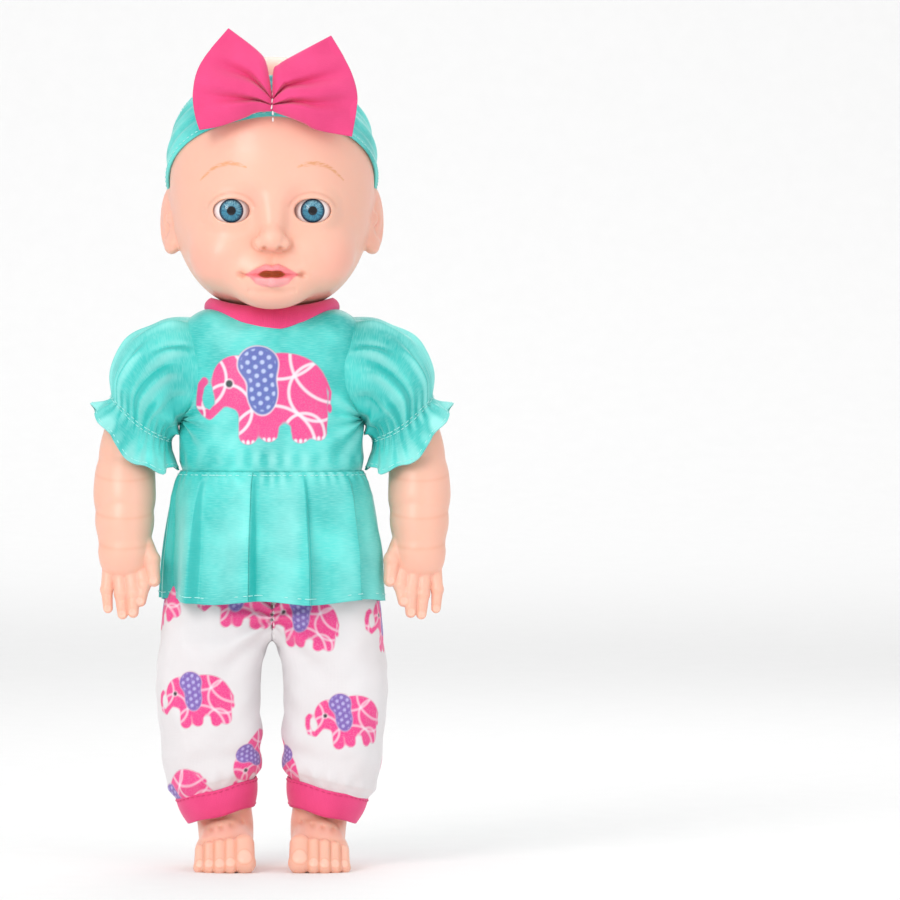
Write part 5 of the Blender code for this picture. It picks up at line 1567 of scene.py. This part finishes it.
def make_legs():
    step = 0.00056
    f = Field((0.006, -0.04, -0.0015), (0.05, 0.023, 0.142), step)
    line = spline(LEG_LINE, 40)
    for a, b in zip(line, line[1:]):
        f.add_cone(a[:3], b[:3], a[3], b[3], 0.0012)
    f.add_ellipsoid((0.0206, -0.0165, 0.01), (0.013, 0.0142, 0.0098), 0.003)
    f.add_ellipsoid((0.02, -0.006, 0.0125), (0.0116, 0.0165, 0.0122), 0.004)
    f.add_ellipsoid((0.02, 0.004, 0.0088), (0.0106, 0.011, 0.01), 0.003)
    f.add_cone((0.02, 0.0022, 0.02), (0.02, 0.001, 0.008), 0.0108, 0.01, 0.003)
    nails = []
    for root, tip in TOES:
        f.add_cone(root[:3], tip[:3], root[3], tip[3], 0.0005)
        f.add_ellipsoid(tip[:3], tip[3] * np.array((1.08, 1, 1.05)), 0.0006)
        nails.append((tip[:3] + tip[3] * np.array((0, -0.72, 0.68)), tip[3]))
    for mid_x, mid_z in DIMPLES:
        f.groove(
            lambda p, mid_x=mid_x, mid_z=mid_z: np.hypot(p[..., 0] - mid_x, p[..., 2] - mid_z),
            (mid_x - 0.003, -0.034, mid_z - 0.003), (mid_x + 0.003, -0.004, mid_z + 0.003), 0.0008, 0.001,
        )

    def disc(p):
        radial = np.hypot(p[..., 1], p[..., 2] - 0.116)
        return smooth_max(radial - 0.0158, np.abs(p[..., 0] - 0.0262) - 0.0155, 0.008)

    f.apply(disc, (0.008, -0.023, 0.092), (0.046, 0.023, 0.141), smooth_min, 0.003)
    f.apply(lambda p: -(p[..., 2]), (0.006, -0.04, -0.0015), (0.05, 0.023, 0.003), smooth_max, 0.0012)

    def plug_hole(p):
        return -np.maximum(np.hypot(p[..., 1], p[..., 2] - 0.116) - 0.0085, p[..., 0] - 0.0145)

    f.apply(plug_hole, (0.006, -0.011, 0.105), (0.016, 0.011, 0.127), smooth_max, 0.0004)
    leg, points = field_object("leg_skin_left", f, vinyl_limb)
    x, y, z = points.T
    # Painted shade over the toes, at the ankle, between the toes, round the toenails and in the dimples, and a
    # redder tint over the front of the toes.
    crease = 0.18 * smoothstep(-0.026, -0.036, y)
    nail = np.zeros(len(points))
    for spot, size in nails:
        away = np.linalg.norm(points - spot, axis=1)
        nail = np.maximum(nail, 0.5 * smoothstep(0.8 * size, 0.55 * size, away))
        crease = np.maximum(crease, 0.5 * bell(away - 0.78 * size, 0.0004))
    over_toes = 0.35 * bell(z - 0.0176 + 0.16 * (x - 0.012), 0.0009) * (y < -0.02)
    ankle = 0.3 * bell(z - 0.0225 + 0.2 * (y + 0.01), 0.0012) * (y < 0)
    crease = np.maximum.reduce([crease, over_toes, ankle])
    for (_, first), (_, second) in zip(TOES, TOES[1:]):
        middle = (first[0] + first[3] + second[0] - second[3]) / 2
        between = bell(x - middle, 0.0008) * (y < -0.0245) * smoothstep(0.0175, 0.015, z)
        crease = np.maximum(crease, 0.7 * between)
    for mid_x, mid_z in DIMPLES:
        spread = bell(np.hypot(x - mid_x, z - mid_z), 0.0011)
        crease = np.maximum(crease, 0.45 * spread * (y < -0.004))
    paint_attribute(leg, "crease", crease)
    paint_attribute(leg, "nail", nail)
    for side_name, (piece,) in both_sides(leg):
        attach(piece, f"leg_{side_name}", "vinyl_skin", f"leg_{side_name}")


# ---------------------------------------------------------------- the hard parts that stay as modelled
def finish_hard_parts():
    """Gives each shown hard part a moulded plastic or plain metal finish, by its material slot."""
    white = plastic_material("white_plastic", rgba(0.8, 0.8, 0.78), 0.36)
    looks = {
        "body_plastic": plastic_material("body_plastic", rgba(0.86, 0.56, 0.42), 0.4),
        "white_plastic": white,
        "steel": plastic_material("steel", rgba(0.62, 0.62, 0.64), 0.28, 1.0, 0.08, 1600.0),
        "battery_jacket": plastic_material("battery_jacket", rgba(0.05, 0.16, 0.08), 0.3, 0.1),
        "circuit_green": plastic_material("circuit_green", rgba(0.03, 0.2, 0.08), 0.4, 0.0, 0.08, 2400.0),
        "black_plastic": plastic_material("black_plastic", rgba(0.03, 0.03, 0.032), 0.45),
        "red_wire": plastic_material("red_wire", rgba(0.55, 0.03, 0.02), 0.45),
        "speaker_black": plastic_material("speaker_black", rgba(0.05, 0.05, 0.055), 0.75, 0.0, 0.06, 3000.0),
        "pink_plastic": plastic_material("pink_plastic", rgba(0.8, 0.1, 0.25), 0.3),
        "eye_acrylic": white,
        "vinyl_skin": vinyl_limb,
    }
    for item in frame["record"]["subparts"]:
        node = frame["nodes"][item["node"]]
        if node.hide_render:
            continue
        node.data.materials.clear()
        node.data.materials.append(looks[item["material_slot"]])


make_head()
make_arms()
make_legs()
make_bodice()
make_collar()
make_peplum()
make_sleeves()
make_trousers()
make_waistband()
make_cuffs()
make_headband()
make_bow()
finish_hard_parts()

# ---------------------------------------------------------------- stage, light and camera
# The picture is as wide as this at the doll, which stands that far left of its middle.
PICTURE_WIDTH = 0.3931
DOLL_OFFSET = 0.07775
CAMERA_DISTANCE = 3.0
CAMERA_HEIGHT = 0.235
AIM_HEIGHT = 0.1843


def make_stage():
    n = Nodes("paper")
    fine = n.noise(60.0)
    paper = n.finish(
        Base_Color=n.mix(n.ramp(fine, 0.3, 0.7, 0.0, 0.5), rgba(0.9, 0.9, 0.9), rgba(0.88, 0.88, 0.88)),
        Roughness=n.ramp(fine, 0.3, 0.7, 0.75, 0.85),
        Normal=n.bump(fine, 0.03, 0.0005),
    )
    points = []
    for y, z in ((-4.2, 0.0), (3.4, 0.0), (3.8, 0.06), (4.1, 0.25), (4.25, 0.55), (4.3, 1.0), (4.3, 4.0)):
        points += [(x, y, z - 0.0002) for x in (-4.4, 4.4)]
    faces = [(i, i + 1, i + 3, i + 2) for i in range(0, len(points) - 2, 2)]
    floor = quad_mesh("floor", points, faces, paper)
    bend = floor.modifiers.new("smooth", "SUBSURF")
    bend.levels = bend.render_levels = 2


def area_light(name, place, aim, size, power, colour=(1, 1, 1)):
    data = bpy.data.lights.new(name, "AREA")
    data.shape = "RECTANGLE"
    data.size, data.size_y = size
    data.energy = power
    data.color = colour
    made = link_object(name, data)
    made.location = place
    made.rotation_euler = (Vector(aim) - Vector(place)).to_track_quat("-Z", "Y").to_euler()


def make_light():
    world = bpy.data.worlds.new("studio")
    world.use_nodes = True
    background = world.node_tree.nodes["Background"]
    background.inputs["Color"].default_value = rgba(1, 1, 1)
    background.inputs["Strength"].default_value = 0.74
    bpy.context.scene.world = world
    aim = (0, 0, 0.19)
    area_light("key", (-0.75, -1.35, 0.95), aim, (0.6, 0.8), 10.5, (1.0, 0.985, 0.97))
    area_light("fill", (0.95, -1.2, 0.55), aim, (0.7, 1.1), 2.4)
    area_light("rim", (0.35, 1.0, 1.1), aim, (1.0, 0.7), 3.5)
    area_light("top", (0.0, -0.15, 1.35), aim, (1.1, 1.1), 2.6)
    area_light("wall", (0.0, 3.0, 2.6), (0, 4.25, 0.6), (3.2, 0.6), 24.0)
    bpy.context.scene.view_settings.view_transform = "Standard"


def make_camera():
    data = bpy.data.cameras.new("camera")
    data.sensor_width = 36.0
    data.lens = 36.0 * CAMERA_DISTANCE / PICTURE_WIDTH
    data.clip_start, data.clip_end = 0.05, 20.0
    # The shift keeps the doll seen straight on.
    data.shift_x = DOLL_OFFSET / PICTURE_WIDTH
    made = link_object("camera", data)
    made.location = (0, -CAMERA_DISTANCE, CAMERA_HEIGHT)
    tilt = math.atan2(CAMERA_HEIGHT - AIM_HEIGHT, CAMERA_DISTANCE)
    made.rotation_euler = (math.pi / 2 - tilt, 0, 0)
    bpy.context.scene.camera = made


make_stage()
make_light()
make_camera()
